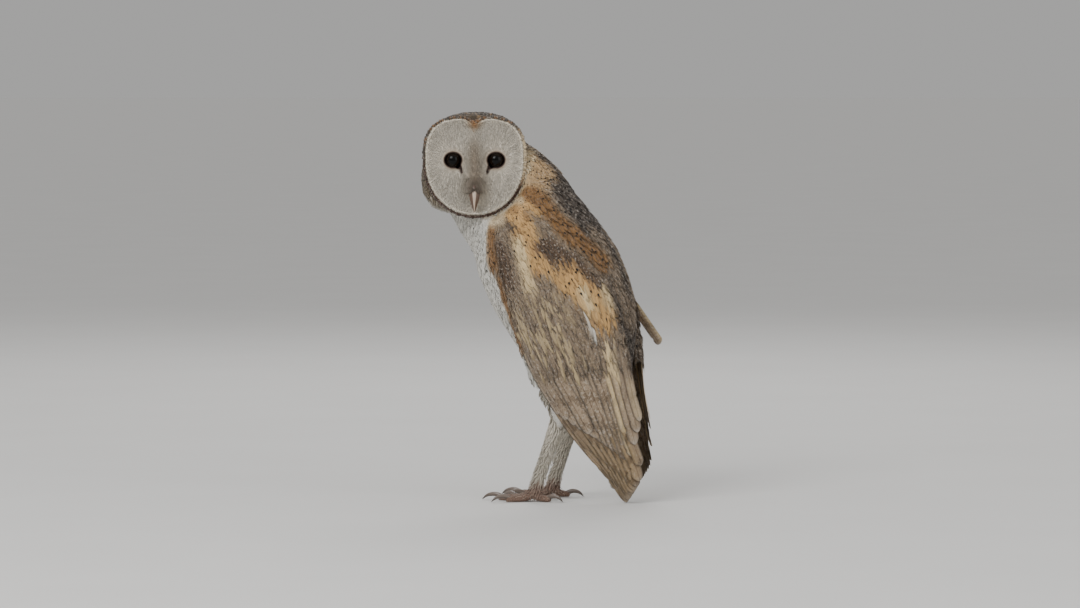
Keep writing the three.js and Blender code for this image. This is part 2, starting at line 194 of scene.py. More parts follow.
DISC_SIDE, DISC_ABOVE, DISC_BELOW = 45, 38.5, 50.5
DISC_BOWL, DISC_RIDGE, RIDGE_WIDTH = 9.5, 14.5, 9
DISC_NOTCH = 5


def disc_rim(angle):
    """The radius of the disc's rim at an angle about the eye line, in mm."""
    c, s = np.cos(angle), np.sin(angle)
    power = np.where(s > 0, 3.1, 2.1)
    height = np.where(s > 0, DISC_ABOVE, DISC_BELOW)
    radius = (np.abs(c / DISC_SIDE) ** power + np.abs(s / height) ** power) ** (-1 / power)
    notch = DISC_NOTCH * np.exp(-((c * radius) ** 2) / 60)
    return np.where(s > 0, radius - notch, radius)


def disc_share(x, z):
    """How far out from the middle of the disc to its rim."""
    return np.hypot(x, z) / disc_rim(np.arctan2(z, x))


def disc_relief(x, z):
    """How far the face stands back from the rim's plane, in mm: a bowl, with a ridge down to the bill."""
    share = np.clip(disc_share(x, z), 0, 1)
    down = (1 - smooth(z, 0, 30)) * smooth(z, -46, -28)
    return DISC_BOWL * (1 - share**3) - DISC_RIDGE * np.exp(-((x / RIDGE_WIDTH) ** 2)) * down


# ---- sizes and colours a user would change


def srgb(code):
    return tuple(((code >> shift) & 255) / 255 for shift in (16, 8, 0))


def colour(name, code, description):
    return FloatVectorProperty(
        name=name, description=description, default=srgb(code), size=3, min=0, max=1, subtype="COLOR_GAMMA"
    )


def tract(name, length, width, spacing):
    return FloatVectorProperty(
        name=name,
        description="Length, width and spacing of these feathers",
        default=(length * MM, width * MM, spacing * MM),
        size=3,
        min=0.0002,
        unit="LENGTH",
    )


def measure(name, value, description):
    return FloatProperty(name=name, description=description, default=value * MM, min=0, unit="LENGTH")


class OwlColours(bpy.types.PropertyGroup):
    """Colours of the owl's feathers and bare parts."""

    disc: colour("Disc", 0xD2CABB, "Facial disc")
    ridge: colour("Ridge", 0x857563, "Shade down the ridge and round the bill")
    tear: colour("Tear", 0x2A1A15, "Dark corners of the eyes")
    rim: colour("Rim", 0xF2E9D6, "Stiff feathers of the disc's rim")
    rim_edge: colour("Rim edge", 0x4A3020, "Dark line outside the rim")
    cleft: colour("Cleft", 0x966A40, "Golden point over the ridge")
    # Partly painted shade: the crown is set darker than its own grey-brown.
    crown: colour("Crown", 0x50463A, "Crown and back of the head")
    white: colour("White", 0xE0DDD4, "Breast and belly")
    cream: colour("Cream", 0xDCC7A2, "Side of the neck")
    buff: colour("Buff", 0xB08F66, "Back of the neck")
    gold: colour("Gold", 0xCFA56C, "Golden patches of the wing")
    pale: colour("Pale", 0xE4CB9C, "Pale streaks")
    rust: colour("Rust", 0x8C6840, "Orange-brown band")
    ochre: colour("Ochre", 0x94704A, "Leading edge of the wing")
    violet: colour("Violet", 0x63503F, "Purple-grey patch")
    mantle: colour("Mantle", 0x50463D, "Mantle and back")
    covert: colour("Covert", 0x8B7A66, "Wing coverts")
    secondary: colour("Secondary", 0xA5917A, "Secondaries")
    primary: colour("Primary", 0x9C866B, "Primaries")
    quill_edge: colour("Quill edge", 0xA98F69, "Leading edges of the primaries")
    bar: colour("Bar", 0x54432F, "Dark bars of the flight feathers")
    leg: colour("Leg", 0xD3CBBB, "Feathered legs")
    toe: colour("Toe", 0x8C7466, "Bare skin of the toes")
    bill: colour("Bill", 0xC8B4A2, "Bill")
    bill_side: colour("Bill side", 0x5C483C, "Sides and edges of the bill")
    claw: colour("Claw", 0x6E6056, "Claws")
    claw_tip: colour("Claw tip", 0x2B2420, "Tips of the claws")


class OwlSizes(bpy.types.PropertyGroup):
    """Sizes of the owl's feathers and of what lies under them."""

    disc: tract("Disc filaments", 7.0, 1.0, 1.0)
    ruff: tract("Rim feathers", 7.0, 2.6, 1.3)
    crown: tract("Crown feathers", 8.0, 3.0, 2.1)
    neck: tract("Neck feathers", 11.0, 4.4, 2.1)
    breast: tract("Breast feathers", 14.0, 5.6, 2.25)
    mantle: tract("Mantle feathers", 17.0, 7.0, 2.8)
    wing: tract("Wing coverts", 13.5, 5.4, 2.55)
    leg: tract("Leg feathers", 7.5, 2.0, 1.4)
    toe: tract("Toe bristles", 3.2, 0.5, 1.9)
    coat_depth: measure("Coat depth", 3.2, "How far the skin lies inside the coat on the trunk")
    voxel: measure("Skin grain", 1.5, "Size of the skin's faces")


def linear(colours):
    """Linear values of gamma-coded colours."""
    c = np.asarray(colours, float)
    return np.where(c <= 0.04045, c / 12.92, ((c + 0.055) / 1.055) ** 2.4)


def paint(name):
    """A palette colour, gamma coded."""
    return np.array(getattr(bpy.context.scene.owl_colours, name))


def sizes(name):
    return getattr(bpy.context.scene.owl_sizes, name)


# ---- markings: colours by place

# Patches of the trunk and the wings: colour, (mm down the body, degrees round it) from one end to the other,
# reach to each side in mm, softness of its edge, how speckled, and how many feathers carry a dark spot.
PATCHES = (
    ("mantle", ((-20, 184), (50, 182)), 8, 6, 0.9, 0.1),
    ("mantle", ((74, 180), (120, 180), (200, 178)), 27, 6, 0.9, 0.1),
    ("mantle", ((60, 163), (95, 162), (120, 166)), 9, 5, 0.9, 0.1),
    ("covert", ((105, 168), (147, 166), (173, 175)), 10, 6, 0.8, 0.0),
    ("ochre", ((56, 70), (68, 66), (82, 60)), 8, 4, 0.15, 0.1),
    ("violet", ((74, 76), (88, 73), (104, 68)), 8, 5, 0.9, 0.0),
    ("ochre", ((100, 59), (126, 52), (150, 45), (172, 42)), 4, 2.5, 0.1, 0.0),
    ("gold", ((56, 108), (80, 104), (104, 104)), 13, 5, 0.0, 0.16),
    ("pale", ((80, 95), (96, 91), (122, 86)), 6, 4, 0.1, 0.03),
    ("mantle", ((58, 95), (64, 97)), 2.5, 2.5, 0.5, 0.0),
    ("rust", ((46, 134), (60, 136), (81, 138), (103, 146), (122, 157)), 10, 4, 0.25, 0.2),
    ("gold", ((54, 124), (66, 127)), 4, 3, 0.0, 0.1),
    ("violet", ((98, 116), (119, 126), (136, 137)), 11, 4, 1.0, 0.02),
    ("gold", ((104, 104), (118, 110), (136, 116)), 5, 4, 0.1, 0.05),
    ("gold", ((128, 122), (148, 132), (170, 138)), 13, 5, 0.05, 0.16),
    ("pale", ((142, 126), (158, 131)), 5, 4, 0.0, 0.06),
    ("white", ((172, 126), (180, 126)), 2.2, 2.5, 0.0, 0.0),
    ("pale", ((150, 146), (160, 147)), 4, 3, 0.1, 0.05),
    ("pale", ((196, 136), (211, 135), (239, 137), (266, 131)), 4, 3, 0.15, 0.0),
    ("covert", ((190, 150), (230, 153)), 8, 5, 0.7, 0.0),
    ("pale", ((226, 161), (275, 161)), 6, 4, 0.15, 0.0),
)
# The turn at which the white breast ends, along the middle line.
BREAST_EDGE = (
    (0, 100), (46, 96), (57, 66), (78, 57), (105, 53), (126, 49), (150, 44), (200, 41), (240, 38), (329, 34),
)


def ripple(a, b, phase):
    """A slow irregular wave over a surface, from -1 to 1."""
    waves = np.sin(0.19 * a + 0.11 * b + phase) + np.sin(0.09 * a - 0.21 * b + 2.3 * phase)
    return (waves + np.sin(0.31 * a + 0.27 * b + 3.7 * phase)) / 3


def reach_to(path, s, turn, stretch):
    """Distance in mm from places on the body to a path over it."""
    best = np.full(len(s), 1e9)
    for (s0, t0), (s1, t1) in zip(path, path[1:]):
        run = np.stack([np.full(len(s), float(s1 - s0)), (t1 - t0) * stretch], 1)
        gap = np.stack([s - s0, (turn - t0) * stretch], 1)
        share = np.clip((gap * run).sum(1) / np.maximum((run**2).sum(1), 1e-9), 0, 1)
        best = np.minimum(best, np.linalg.norm(gap - run * share[:, None], axis=1))
    return best


def trunk_tones(points):
    """Colours of places on the trunk and the wings, and how far each is speckled and spotted."""
    s, turn = places(points)
    left = turn > 0
    stretch = along(GIRTH, s) * math.pi / 180
    phase = np.where(left, 0.0, 1.9)
    s = s + 2.2 * ripple(s, turn * stretch, phase)
    turn = np.abs(turn) + 2.2 * ripple(turn * stretch, s, phase + 1.0) / stretch

    edge = along(BREAST_EDGE, s)
    wing = smooth((turn - edge) * stretch, -1.5, 2.5)
    tone = blend(paint("white"), paint("covert"), wing)
    speckle = 0.7 * wing
    spots = lerp(0.02, 0.06 * smooth(s, 125, 95), wing)

    neck = 1 - smooth(s, 46, 62)
    slant = turn + 0.75 * s
    neck_tone = blend(paint("white"), paint("cream"), smooth(slant, 92, 114))
    neck_tone = blend(neck_tone, paint("buff"), 0.8 * smooth(slant, 148, 180))
    tone = blend(tone, neck_tone, neck)
    speckle = lerp(speckle, 0.1 + 0.7 * smooth(slant, 170, 195), neck)
    spots = lerp(spots, lerp(0.02, 0.3, smooth(slant, 130, 160)), neck)

    below = smooth(s, 196, 230) * wing
    tone = blend(tone, paint("secondary"), below)
    for name, path, reach, softness, speck, spot in PATCHES:
        weight = 1 - smooth(reach_to(path, s, turn, stretch), reach - softness, reach + softness)
        patch = np.tile(paint(name), (len(s), 1))
        if name == "gold":
            darker = 0.55 * smooth(ripple(s * 1.6, turn * 1.2, 4.0), 0.0, 0.8)
            patch = blend(patch, paint("ochre"), darker)
        tone = blend(tone, patch, weight)
        speckle = lerp(speckle, speck, weight)
        spots = lerp(spots, spot, weight)
    return tone, speckle, spots


def disc_tones(x, z):
    """Colours of places on the facial disc."""
    tone = np.tile(paint("disc"), (len(x), 1))
    side = np.abs(x)
    ridge_side = 5.5 + 0.11 * np.clip(-z, 0, 30)
    ridge = np.exp(-((side / ridge_side) ** 2)) * smooth(z, 32, 4) * smooth(z, -40, -26)
    tone = blend(tone, paint("ridge"), 0.75 * ridge)
    at_bill = np.exp(-((side / 8) ** 2) - ((z + 23) / 6) ** 2)
    tone = blend(tone, paint("ridge") * 0.8, 0.85 * at_bill)
    from_eye = np.hypot(side - EYE_SIDE, z)
    tone = blend(tone, paint("ridge"), 0.55 * np.exp(-(((from_eye - 8) / 2.6) ** 2)))
    down = np.clip((-z - 4) / 10, 0, 1)
    tear = np.hypot(side - (EYE_SIDE - 6.0 - 2.6 * down), (z + 8.0) * 0.32)
    tone = blend(tone, paint("tear"), 1 - smooth(tear, 0.9, 2.1))
    share = disc_share(x, z)
    cleft = np.exp(-((x / 6) ** 2)) * smooth(share, 0.72, 0.98) * (z > 0)
    tone = blend(tone, paint("cleft"), 0.9 * cleft)
    return lerp(tone, paint("rim"), 0.75 * smooth(share, 0.9, 0.97)[:, None] * (1 - cleft[:, None]))


def head_tones(points):
    """Colours of places on the head behind the disc, with painted shade: the owl's right side is a darker
    olive where its left side is cream.
    """
    x, y, z = in_face(points)
    warped_x = x * 4.4 + 12 * ripple(y * 2.3, z * 3.1, 2.0)
    warped_y = y * 3.6 - z * 4.8 + 9 * ripple(x * 3, z * 2, 5.0)
    grain = ripple(warped_x, warped_y, 0.7)
    # Partly painted shade: the dark crown takes little buff.
    tone = blend(paint("crown"), paint("buff"), 0.6 * smooth(grain, 0.0, 0.7))
    gold = smooth(y, 26, 6) * smooth(z, 14, 32) * smooth(np.abs(x), 8, 22)
    tone = blend(tone, paint("cleft"), 0.45 * gold)
    # Painted shade: the owl's right side is olive, darker than the cream of its left side, and low on its
    # front it takes only a third of the white below.
    left_side = smooth(x, 10, 40)
    low = smooth(-z - 0.16 * y + 26 * left_side, 4, 24)
    off_shaded_band = np.maximum(smooth(x, -34, -16), smooth(y, 14, 34))
    under = smooth(-z - 0.15 * y + 10 * smooth(y, 14, 34), 28, 48) * lerp(0.35, 1.0, off_shaded_band)
    shaded_olive = lerp(paint("crown"), paint("cream"), 0.3)
    side = blend(blend(shaded_olive, paint("cream"), left_side), paint("white"), under)
    tone = blend(tone, side, low)
    speckle = lerp(0.8, 0.25, low)
    spots = lerp(0.2, 0.16, low)
    return tone, speckle, spots


def skin_tones(points, leg):
    """Colours of the skin under every tract, and how bare it is. leg is 1 on the legs."""
    trunk, _, _ = trunk_tones(points)
    head, _, _ = head_tones(points)
    tone = blend(trunk, head, smooth(from_skull(points), 58, 48))
    x, y, z = in_face(points)
    share = disc_share(x, z)
    on_disc = smooth(share, 1.0, 0.95) * (y < disc_relief(x, z) + 3) * (y > -18)
    tone = blend(tone, disc_tones(x, z), on_disc)
    behind_rim = smooth(share, 0.96, 0.985) * smooth(share, 1.045, 1.02) * (y > 3) * (y < 9)
    tone = blend(tone, paint("rim_edge"), behind_rim * smooth(-z, -4, 14))
    tone = blend(tone, paint("leg") * 0.86, leg)
    bare = smooth(points[:, 2] / MM, 22, 13) * leg
    return blend(tone, paint("toe"), bare), bare


# ---- meshes from arrays, and their materials


def select_none():
    bpy.ops.object.select_all(action="DESELECT")


def alone(obj):
    """Makes an object the only selected one, and active."""
    select_none()
    obj.select_set(True)
    bpy.context.view_layer.objects.active = obj


def apply_modifiers(obj):
    alone(obj)
    for modifier in list(obj.modifiers):
        bpy.ops.object.modifier_apply(modifier=modifier.name)


def new_object(name, mesh):
    obj = bpy.data.objects.new(name, mesh)
    bpy.context.scene.collection.objects.link(obj)
    return obj


def read(items, key, width=3, kind=np.float32):
    """One property of all the items of a mesh, as rows."""
    values = np.empty(len(items) * width, kind)
    items.foreach_get(key, values)
    return values.reshape(-1, width)


def points_of(mesh):
    return read(mesh.vertices, "co").astype(float)


def normals_of(mesh):
    return read(mesh.vertex_normals, "vector").astype(float)


def edge_pairs(mesh):
    return read(mesh.edges, "vertices", 2, np.int32)


def place_points(mesh, points):
    mesh.vertices.foreach_set("co", np.ascontiguousarray(points, np.float32).ravel())
    mesh.update()


def tint(mesh, name, values):
    """Gives each vertex of a mesh a colour or three plain values."""
    layer = mesh.color_attributes.new(name, "FLOAT_COLOR", "POINT")
    rgba = np.ones((len(values), 4), np.float32)
    rgba[:, :3] = values
    layer.data.foreach_set("color", rgba.ravel())


def repeated(faces, count, each):
    """Faces of one shape of some points each, numbered on for a count of copies of it."""
    shift = (np.arange(count) * each)[:, None, None]
    return [(f[None] + shift).reshape(-1, f.shape[1]) for f in faces]


def built(name, points, faces, maps, tones, marks):
    """A smooth object. faces is a list of arrays of vertex numbers; maps, tones and marks are by point."""
    mesh = bpy.data.meshes.new(name)
    mesh.vertices.add(len(points))
    place_points(mesh, points)
    corners = np.concatenate([f.ravel() for f in faces]).astype(np.int32)
    counts = np.concatenate([np.full(len(f), f.shape[1]) for f in faces])
    mesh.loops.add(len(corners))
    mesh.loops.foreach_set("vertex_index", corners)
    mesh.polygons.add(len(counts))
    mesh.polygons.foreach_set("loop_start", np.concatenate([[0], np.cumsum(counts)[:-1]]).astype(np.int32))
    mesh.polygons.foreach_set("use_smooth", np.ones(len(counts), bool))
    for map_name, uv in maps.items():
        layer = mesh.uv_layers.new(name=map_name)
        layer.data.foreach_set("uv", np.ascontiguousarray(uv[corners], np.float32).ravel())
    mesh.update(calc_edges=True)
    mesh.validate()
    tint(mesh, "tone", linear(tones))
    tint(mesh, "marks", marks)
    return new_object(name, mesh)


def finish_piece(obj, material, slot, *nodes):
    """Gives a piece its material and its place in the frame."""
    obj.data.materials.clear()
    obj.data.materials.append(material)
    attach(obj, "root")
    if nodes:
        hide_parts(*nodes)


class Nodes:
    """A node tree of a material or of the world, built by short calls."""

    def __init__(self, owner):
        owner.use_nodes = True
        self.tree = owner.node_tree

    def node(self, kind, inputs=(), **settings):
        node = self.tree.nodes.new("ShaderNode" + kind)
        for key, value in settings.items():
            setattr(node, key, value)
        for key, value in dict(inputs).items():
            if isinstance(value, bpy.types.NodeSocket):
                self.tree.links.new(value, node.inputs[key])
            else:
                node.inputs[key].default_value = value
        return node

    def math(self, operation, *values):
        return self.node("Math", dict(enumerate(values)), operation=operation).outputs[0]

    def times(self, a, b):
        return self.math("MULTIPLY", a, b)

    def dot(self, vector, way):
        return self.node("VectorMath", {0: vector, 1: way}, operation="DOT_PRODUCT").outputs["Value"]

    def ramp(self, value, low, high):
        """0 below low, 1 above high, smooth between."""
        inputs = {"Value": value, "From Min": low, "From Max": high}
        return self.node("MapRange", inputs, interpolation_type="SMOOTHSTEP").outputs["Result"]

    def mix(self, share, first, second, blend="MIX"):
        node = self.node("Mix", data_type="RGBA", blend_type=blend)
        for socket, value in ((node.inputs[0], share), (node.inputs[6], first), (node.inputs[7], second)):
            if isinstance(value, bpy.types.NodeSocket):
                self.tree.links.new(value, socket)
            elif isinstance(value, (int, float)):
                socket.default_value = value
            else:
                socket.default_value = (*value, 1)
        return node.outputs[2]

    def shade(self, share, base, colour):
        """A colour, multiplied by another by some share."""
        return self.mix(share, base, self.mix(1.0, base, colour, "MULTIPLY"))

    def place(self, **mapping):
        """Object coordinates, moved or stretched."""
        where = self.node("TexCoord").outputs["Object"]
        return self.node("Mapping", {"Vector": where, **mapping}).outputs[0] if mapping else where

    def grain(self, scale, detail=2.0, stretch=None):
        """Noise on Object coordinates. The scale is per metre."""
        where = self.place(Scale=stretch) if stretch else self.place()
        return self.node("TexNoise", {"Vector": where, "Scale": scale, "Detail": detail}).outputs["Fac"]

    def attribute(self, name):
        return self.node("Attribute", attribute_name=name).outputs["Color"]

    def split(self, vector):
        return self.node("SeparateXYZ", {0: vector}).outputs


class Shader(Nodes):
    """A material of one surface."""

    def __init__(self, name, roughness, **constants):
        self.material = bpy.data.materials.new(name)
        super().__init__(self.material)
        self.surface = self.tree.nodes["Principled BSDF"]
        self.surface.inputs["Roughness"].default_value = roughness
        for socket, value in constants.items():
            self.surface.inputs[socket.replace("_", " ").title().replace("Ior", "IOR")].default_value = value

    def bump(self, height, distance, strength=1.0):
        inputs = {"Height": height, "Distance": distance, "Strength": strength}
        self.tree.links.new(self.node("Bump", inputs).outputs[0], self.surface.inputs["Normal"])

    def barbs(self, down, off_shaft, density, slant, height):
        """Fine slanting ribs across a vane."""
        lie = self.math("ADD", self.times(down, density), self.times(off_shaft, -slant))
        self.bump(self.math("SINE", self.times(lie, math.tau)), height, 0.6)

    def colour(self, socket):
        self.tree.links.new(socket, self.surface.inputs["Base Color"])


def plumage(name, roughness, **constants):
    """A material of feathers: its shader, tone and marks, and places down a feather and off its shaft."""
    s = Shader(name, roughness, **constants)
    across, down, _ = s.split(s.node("UVMap", uv_map="feather").outputs[0])
    off_shaft = s.math("ABSOLUTE", s.math("SUBTRACT", across, 0.5))
    return s, s.attribute("tone"), s.split(s.attribute("marks")), down, off_shaft


@lru_cache(maxsize=None)
def feather_material(name, barbs=46.0):
    """Soft feathers: their tone, speckled and spotted as their marks say, with a shaft and fine barbs."""
    s, tone, marks, down, off_shaft = plumage(
        name, 0.82, sheen_weight=0.18, sheen_roughness=0.45, specular_ior_level=0.25
    )
    speckled, spotted, streaked = marks
    dark = s.times(s.ramp(s.grain(620, 4.0), 0.5, 0.6), speckled)
    base = s.shade(s.times(dark, 0.72), tone, (0.2, 0.17, 0.15))
    light = s.times(s.ramp(s.grain(520, 3.0), 0.56, 0.64), speckled)
    base = s.mix(s.times(light, 0.7), base, (0.55, 0.48, 0.41))

    inside = s.times(s.ramp(off_shaft, 0.3, 0.18), s.ramp(down, 0.1, 0.35))
    base = s.mix(s.times(inside, streaked), base, tuple(linear(paint("pale")) * 0.8))
    outside = s.times(s.ramp(off_shaft, 0.26, 0.4), s.times(streaked, 0.6))
    base = s.shade(outside, base, (0.4, 0.34, 0.3))
    base = s.shade(s.times(s.math("LESS_THAN", off_shaft, 0.04), 0.12), base, (0.45, 0.4, 0.35))
    base = s.mix(s.times(s.ramp(down, 0.86, 1.0), 0.15), base, s.mix(0.5, base, (0.8, 0.74, 0.66)))

    spot_x = s.times(off_shaft, 4.2)
    spot_y = s.times(s.math("SUBTRACT", down, 0.84), 8.5)
    reach = s.math("ADD", s.times(spot_x, spot_x), s.times(spot_y, spot_y))
    size = s.math("ADD", s.times(spotted, spotted), 0.001)
    round_spot = s.ramp(s.math("DIVIDE", reach, size), 1.5, 0.7)
    spot = s.times(round_spot, s.math("GREATER_THAN", spotted, 0.1))
    s.colour(s.mix(spot, base, (0.012, 0.008, 0.006)))
    s.barbs(down, off_shaft, barbs, barbs * 0.8, 0.00009)
    return s.material


@lru_cache(maxsize=None)
def quill_material():
    """Flight feathers: tone, dark bars, fine speckle, paler tips and a ribbed vane."""
    s, tone, marks, down, off_shaft = plumage(
        "quill plumage", 0.7, sheen_weight=0.12, sheen_roughness=0.4, specular_ior_level=0.3
    )
    speckled, pale_tip, barred = marks
    wander = s.times(s.math("SUBTRACT", s.grain(160), 0.5), 0.5)
    phase = s.math("ADD", s.math("ADD", down, s.times(off_shaft, -0.5)), wander)
    wave = s.math("SINE", s.times(phase, math.tau))
    bars = s.times(s.ramp(wave, 0.35, 0.85), barred)
    base = s.mix(s.times(bars, 0.75), tone, tuple(linear(paint("bar"))))
    dark = s.times(s.ramp(s.grain(560, 4.0), 0.5, 0.6), speckled)
    base = s.shade(s.times(dark, 0.5), base, (0.3, 0.26, 0.22))
    light = s.times(s.ramp(s.grain(430, 4.0), 0.54, 0.64), speckled)
    base = s.mix(s.times(light, 0.6), base, (0.55, 0.47, 0.38))
    base = s.shade(s.times(s.ramp(off_shaft, 0.05, 0.025), 0.6), base, (0.36, 0.3, 0.25))
    s.colour(s.mix(s.times(pale_tip, 0.5), base, (0.62, 0.58, 0.52)))
    s.barbs(down, off_shaft, 34.0, 26.0, 0.0001)
    return s.material


@lru_cache(maxsize=None)
def skin_material():
    """The skin: the coat's own colours, and fine scales where the toes are bare."""
    s = Shader("skin", 0.75, specular_ior_level=0.3)
    tone = s.attribute("tone")
    bare = s.split(s.attribute("marks"))[0]
    grain = s.ramp(s.grain(900, 3.0), 0.35, 0.7)
    base = s.shade(s.times(grain, 0.35), tone, (0.5, 0.45, 0.4))
    cells = s.node("TexVoronoi", {"Vector": s.place(), "Scale": 620.0}, feature="DISTANCE_TO_EDGE")
    scale = s.ramp(cells.outputs["Distance"], 0.02, 0.16)
    crease = s.times(s.math("SUBTRACT", 1.0, scale), bare)
    s.colour(s.shade(s.times(crease, 0.6), base, (0.3, 0.24, 0.2)))
    s.bump(s.math("ADD", s.times(scale, bare), s.times(grain, 0.3)), 0.00035, 0.8)
    return s.material


# ---- the skin, and the surface that the coat lies on

FLESH = ["cranium", "facial_disc", "neck", "breast", "belly", "mantle", "rump"]
for hand in "lr":
    FLESH += [f"wing_{hand}_coverts", f"thigh_{hand}", f"tarsus_{hand}"]
    FLESH += [f"toe_{hand}_{toe}" for toe in ("inner", "middle", "outer", "hind")]
LEGS = ("thigh", "tarsus", "toe")
GROWN = 0.45 * MM  # how far each node is grown, so that it meets its neighbours
QUILLED = ["tail"] + [f"wing_{hand}_{part}" for hand in "lr" for part in ("secondaries", "primaries")]


@lru_cache(maxsize=None)
def node_faces(names):
    """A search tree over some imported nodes' faces, and the name of the node that each face belongs to."""
    points, faces, owners = [], [], []
    for name in names:
        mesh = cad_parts[name].data
        start = len(points)
        points += [tuple(v.co) for v in mesh.vertices]
        faces += [[start + i for i in face.vertices] for face in mesh.polygons]
        owners += [name] * len(mesh.polygons)
    return BVHTree.FromPolygons(points, faces), np.array(owners)


def owners_of(points):
    """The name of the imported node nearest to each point."""
    tree, owners = node_faces(tuple(FLESH + QUILLED))
    return owners[[tree.find_nearest(point)[2] for point in points.tolist()]]


def among(names, starts):
    """1 where a name has one of some starts, and 0 elsewhere."""
    return np.any([np.char.startswith(names, start) for start in starts], axis=0).astype(float)


def one_shell(name, nodes, voxel):
    """The nodes, each grown a little, as one closed mesh of even faces."""
    whole = bmesh.new()
    for node in nodes:
        part = bmesh.new()
        part.from_mesh(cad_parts[node].data)
        bmesh.ops.remove_doubles(part, verts=part.verts, dist=2e-6)
        part.normal_update()
        moves = [v.normal * GROWN for v in part.verts]
        for v, move in zip(part.verts, moves):
            v.co += move
        mesh = bpy.data.meshes.new("part")
        part.to_mesh(mesh)
        part.free()
        whole.from_mesh(mesh)
        bpy.data.meshes.remove(mesh)
    mesh = bpy.data.meshes.new(name)
    whole.to_mesh(mesh)
    whole.free()
    obj = new_object(name, mesh)
    modifier = obj.modifiers.new("even", "REMESH")
    modifier.mode = "VOXEL"
    modifier.voxel_size = voxel
    apply_modifiers(obj)
    drop_inner_shells(obj.data)
    return obj


def drop_inner_shells(mesh):
    """Deletes every closed shell but the largest: hollows between the nodes leave shells inside."""
    pairs = edge_pairs(mesh)
    label = np.arange(len(mesh.vertices))
    while True:
        low = np.minimum(label[pairs[:, 0]], label[pairs[:, 1]])
        new = label.copy()
        np.minimum.at(new, pairs[:, 0], low)
        np.minimum.at(new, pairs[:, 1], low)
        new = new[new]
        if (new == label).all():
            break
        label = new
    largest = np.bincount(label).argmax()
    bm = bmesh.new()
    bm.from_mesh(mesh)
    bmesh.ops.delete(bm, geom=[v for v in bm.verts if label[v.index] != largest], context="VERTS")
    bm.to_mesh(mesh)
    bm.free()


def relaxed(points, pairs, rounds, swell=-0.52):
    """Points evened out along their edges without losing bulk."""
    both = np.concatenate([pairs, pairs[:, ::-1]])
    count = np.maximum(np.bincount(both[:, 0], minlength=len(points)), 1)[:, None]
    for _ in range(rounds):
        for share in (0.5, swell):
            sums = [np.bincount(both[:, 0], column[both[:, 1]], len(points)) for column in points.T]
            points = points + share * (np.stack(sums, 1) / count - points)
    return points


def coat_depth(points, leg, quilled):
    """How far inside the coat the skin lies, in metres. leg and quilled are 1 on legs and flight feathers."""
    trunk = sizes("coat_depth")
    s, turn = places(points)
    on_wing = smooth(np.abs(turn), along(WING_LEAD, s) - 3, along(WING_LEAD, s) + 4)
    depth = lerp(trunk, trunk * 0.55, on_wing)
    depth = lerp(depth, 1.6 * MM, smooth(from_skull(points), 62, 50))
    depth = lerp(depth, 1.3 * MM, leg)
    depth = lerp(depth, 0.4 * MM, leg * smooth(points[:, 2] / MM, 26, 14))
    return lerp(depth, 0.1 * MM, quilled)


def shaped(obj):
    """Evens a shell out, draws it in by the coat's depth and sets the face to its true form."""
    mesh = obj.data
    pairs = edge_pairs(mesh)
    points = points_of(mesh)
    names = owners_of(points)
    s, _ = places(points)
    groups = np.stack([among(names, LEGS), among(names, QUILLED) * smooth(s, 150, 205)], 1)
    leg, quilled = relaxed(groups, pairs, 4, swell=0.0).T
    fine = np.maximum(leg, quilled)[:, None]
    points = lerp(relaxed(points, pairs, 14), relaxed(points, pairs, 3), fine)
    place_points(mesh, points)
    points = points - normals_of(mesh) * (coat_depth(points, leg, quilled) + GROWN)[:, None]
    points = lerp(relaxed(points, pairs, 4), points, fine)
    place_points(mesh, points)
    facing = -normals_of(mesh) @ BACKWARD
    x, y, z = in_face(points)
    share = disc_share(x, z)
    front = (facing > 0.12) & (y < FACE_BEHIND) & (y > FACE_AHEAD)
    y = lerp(y, disc_relief(x, z) + 1.0, smooth(share, 1.0, 0.955) * front)
    near = (y < FACE_BEHIND) & (y > -26)
    groove = smooth(share, 0.96, 0.99) * smooth(share, 1.14, 1.05) * smooth(z, 22, 8) * near
    y = lerp(y, np.maximum(y, GROOVE), groove)
    place_points(mesh, from_face(x, y, z))
    mesh.polygons.foreach_set("use_smooth", np.ones(len(mesh.polygons), bool))
    return obj, leg


class Ground:
    """The surface that the coat lies on: the whole owl, quills too, drawn in by the coat's depth."""

    def __init__(self):
        obj, _ = shaped(one_shell("ground", FLESH + QUILLED, sizes("voxel")))
        mesh = obj.data
        mesh.calc_loop_triangles()
        self.points = points_of(mesh)
        self.normals = normals_of(mesh)
        self.triangles = read(mesh.loop_triangles, "vertices", 3, np.int32)
        corners = self.points[self.triangles]
        cross = np.cross(corners[:, 1] - corners[:, 0], corners[:, 2] - corners[:, 0])
        self.areas = np.linalg.norm(cross, axis=1) / 2
        self.middles = corners.mean(1)
        self.face_normals = unit(self.normals[self.triangles].mean(1))
        self.tree = BVHTree.FromPolygons(self.points.tolist(), self.triangles.tolist())
        self.tracts = tract_of(self.middles, self.face_normals)
        bpy.data.objects.remove(obj)
        bpy.data.meshes.remove(mesh)

    def snap(self, points):
        """The nearest places of the surface, and the ways out from it there."""
        hits = [self.tree.find_nearest(point) for point in points.tolist()]
        return np.array([tuple(hit[0]) for hit in hits]), self.face_normals[[hit[2] for hit in hits]]


TRACTS = (
    "disc", "head", "neck", "breast", "belly", "mantle", "rump",
    "wing_l", "wing_r", "leg_l", "leg_r", "toes", "bare",
)
# Where one tract gives way to the next: mm down the body, from the skull's middle and up from the floor.
NECK_END, BREAST_END, MANTLE_END, QUILLS_START = 55, 158, 165, 204
HEAD_RADIUS = 53
TOES_TOP = 14
# mm back from the rim's plane: the face lies between these, and the skin of the groove outside it at GROOVE.
FACE_AHEAD, FACE_BEHIND, GROOVE = -19, 15, 5.5


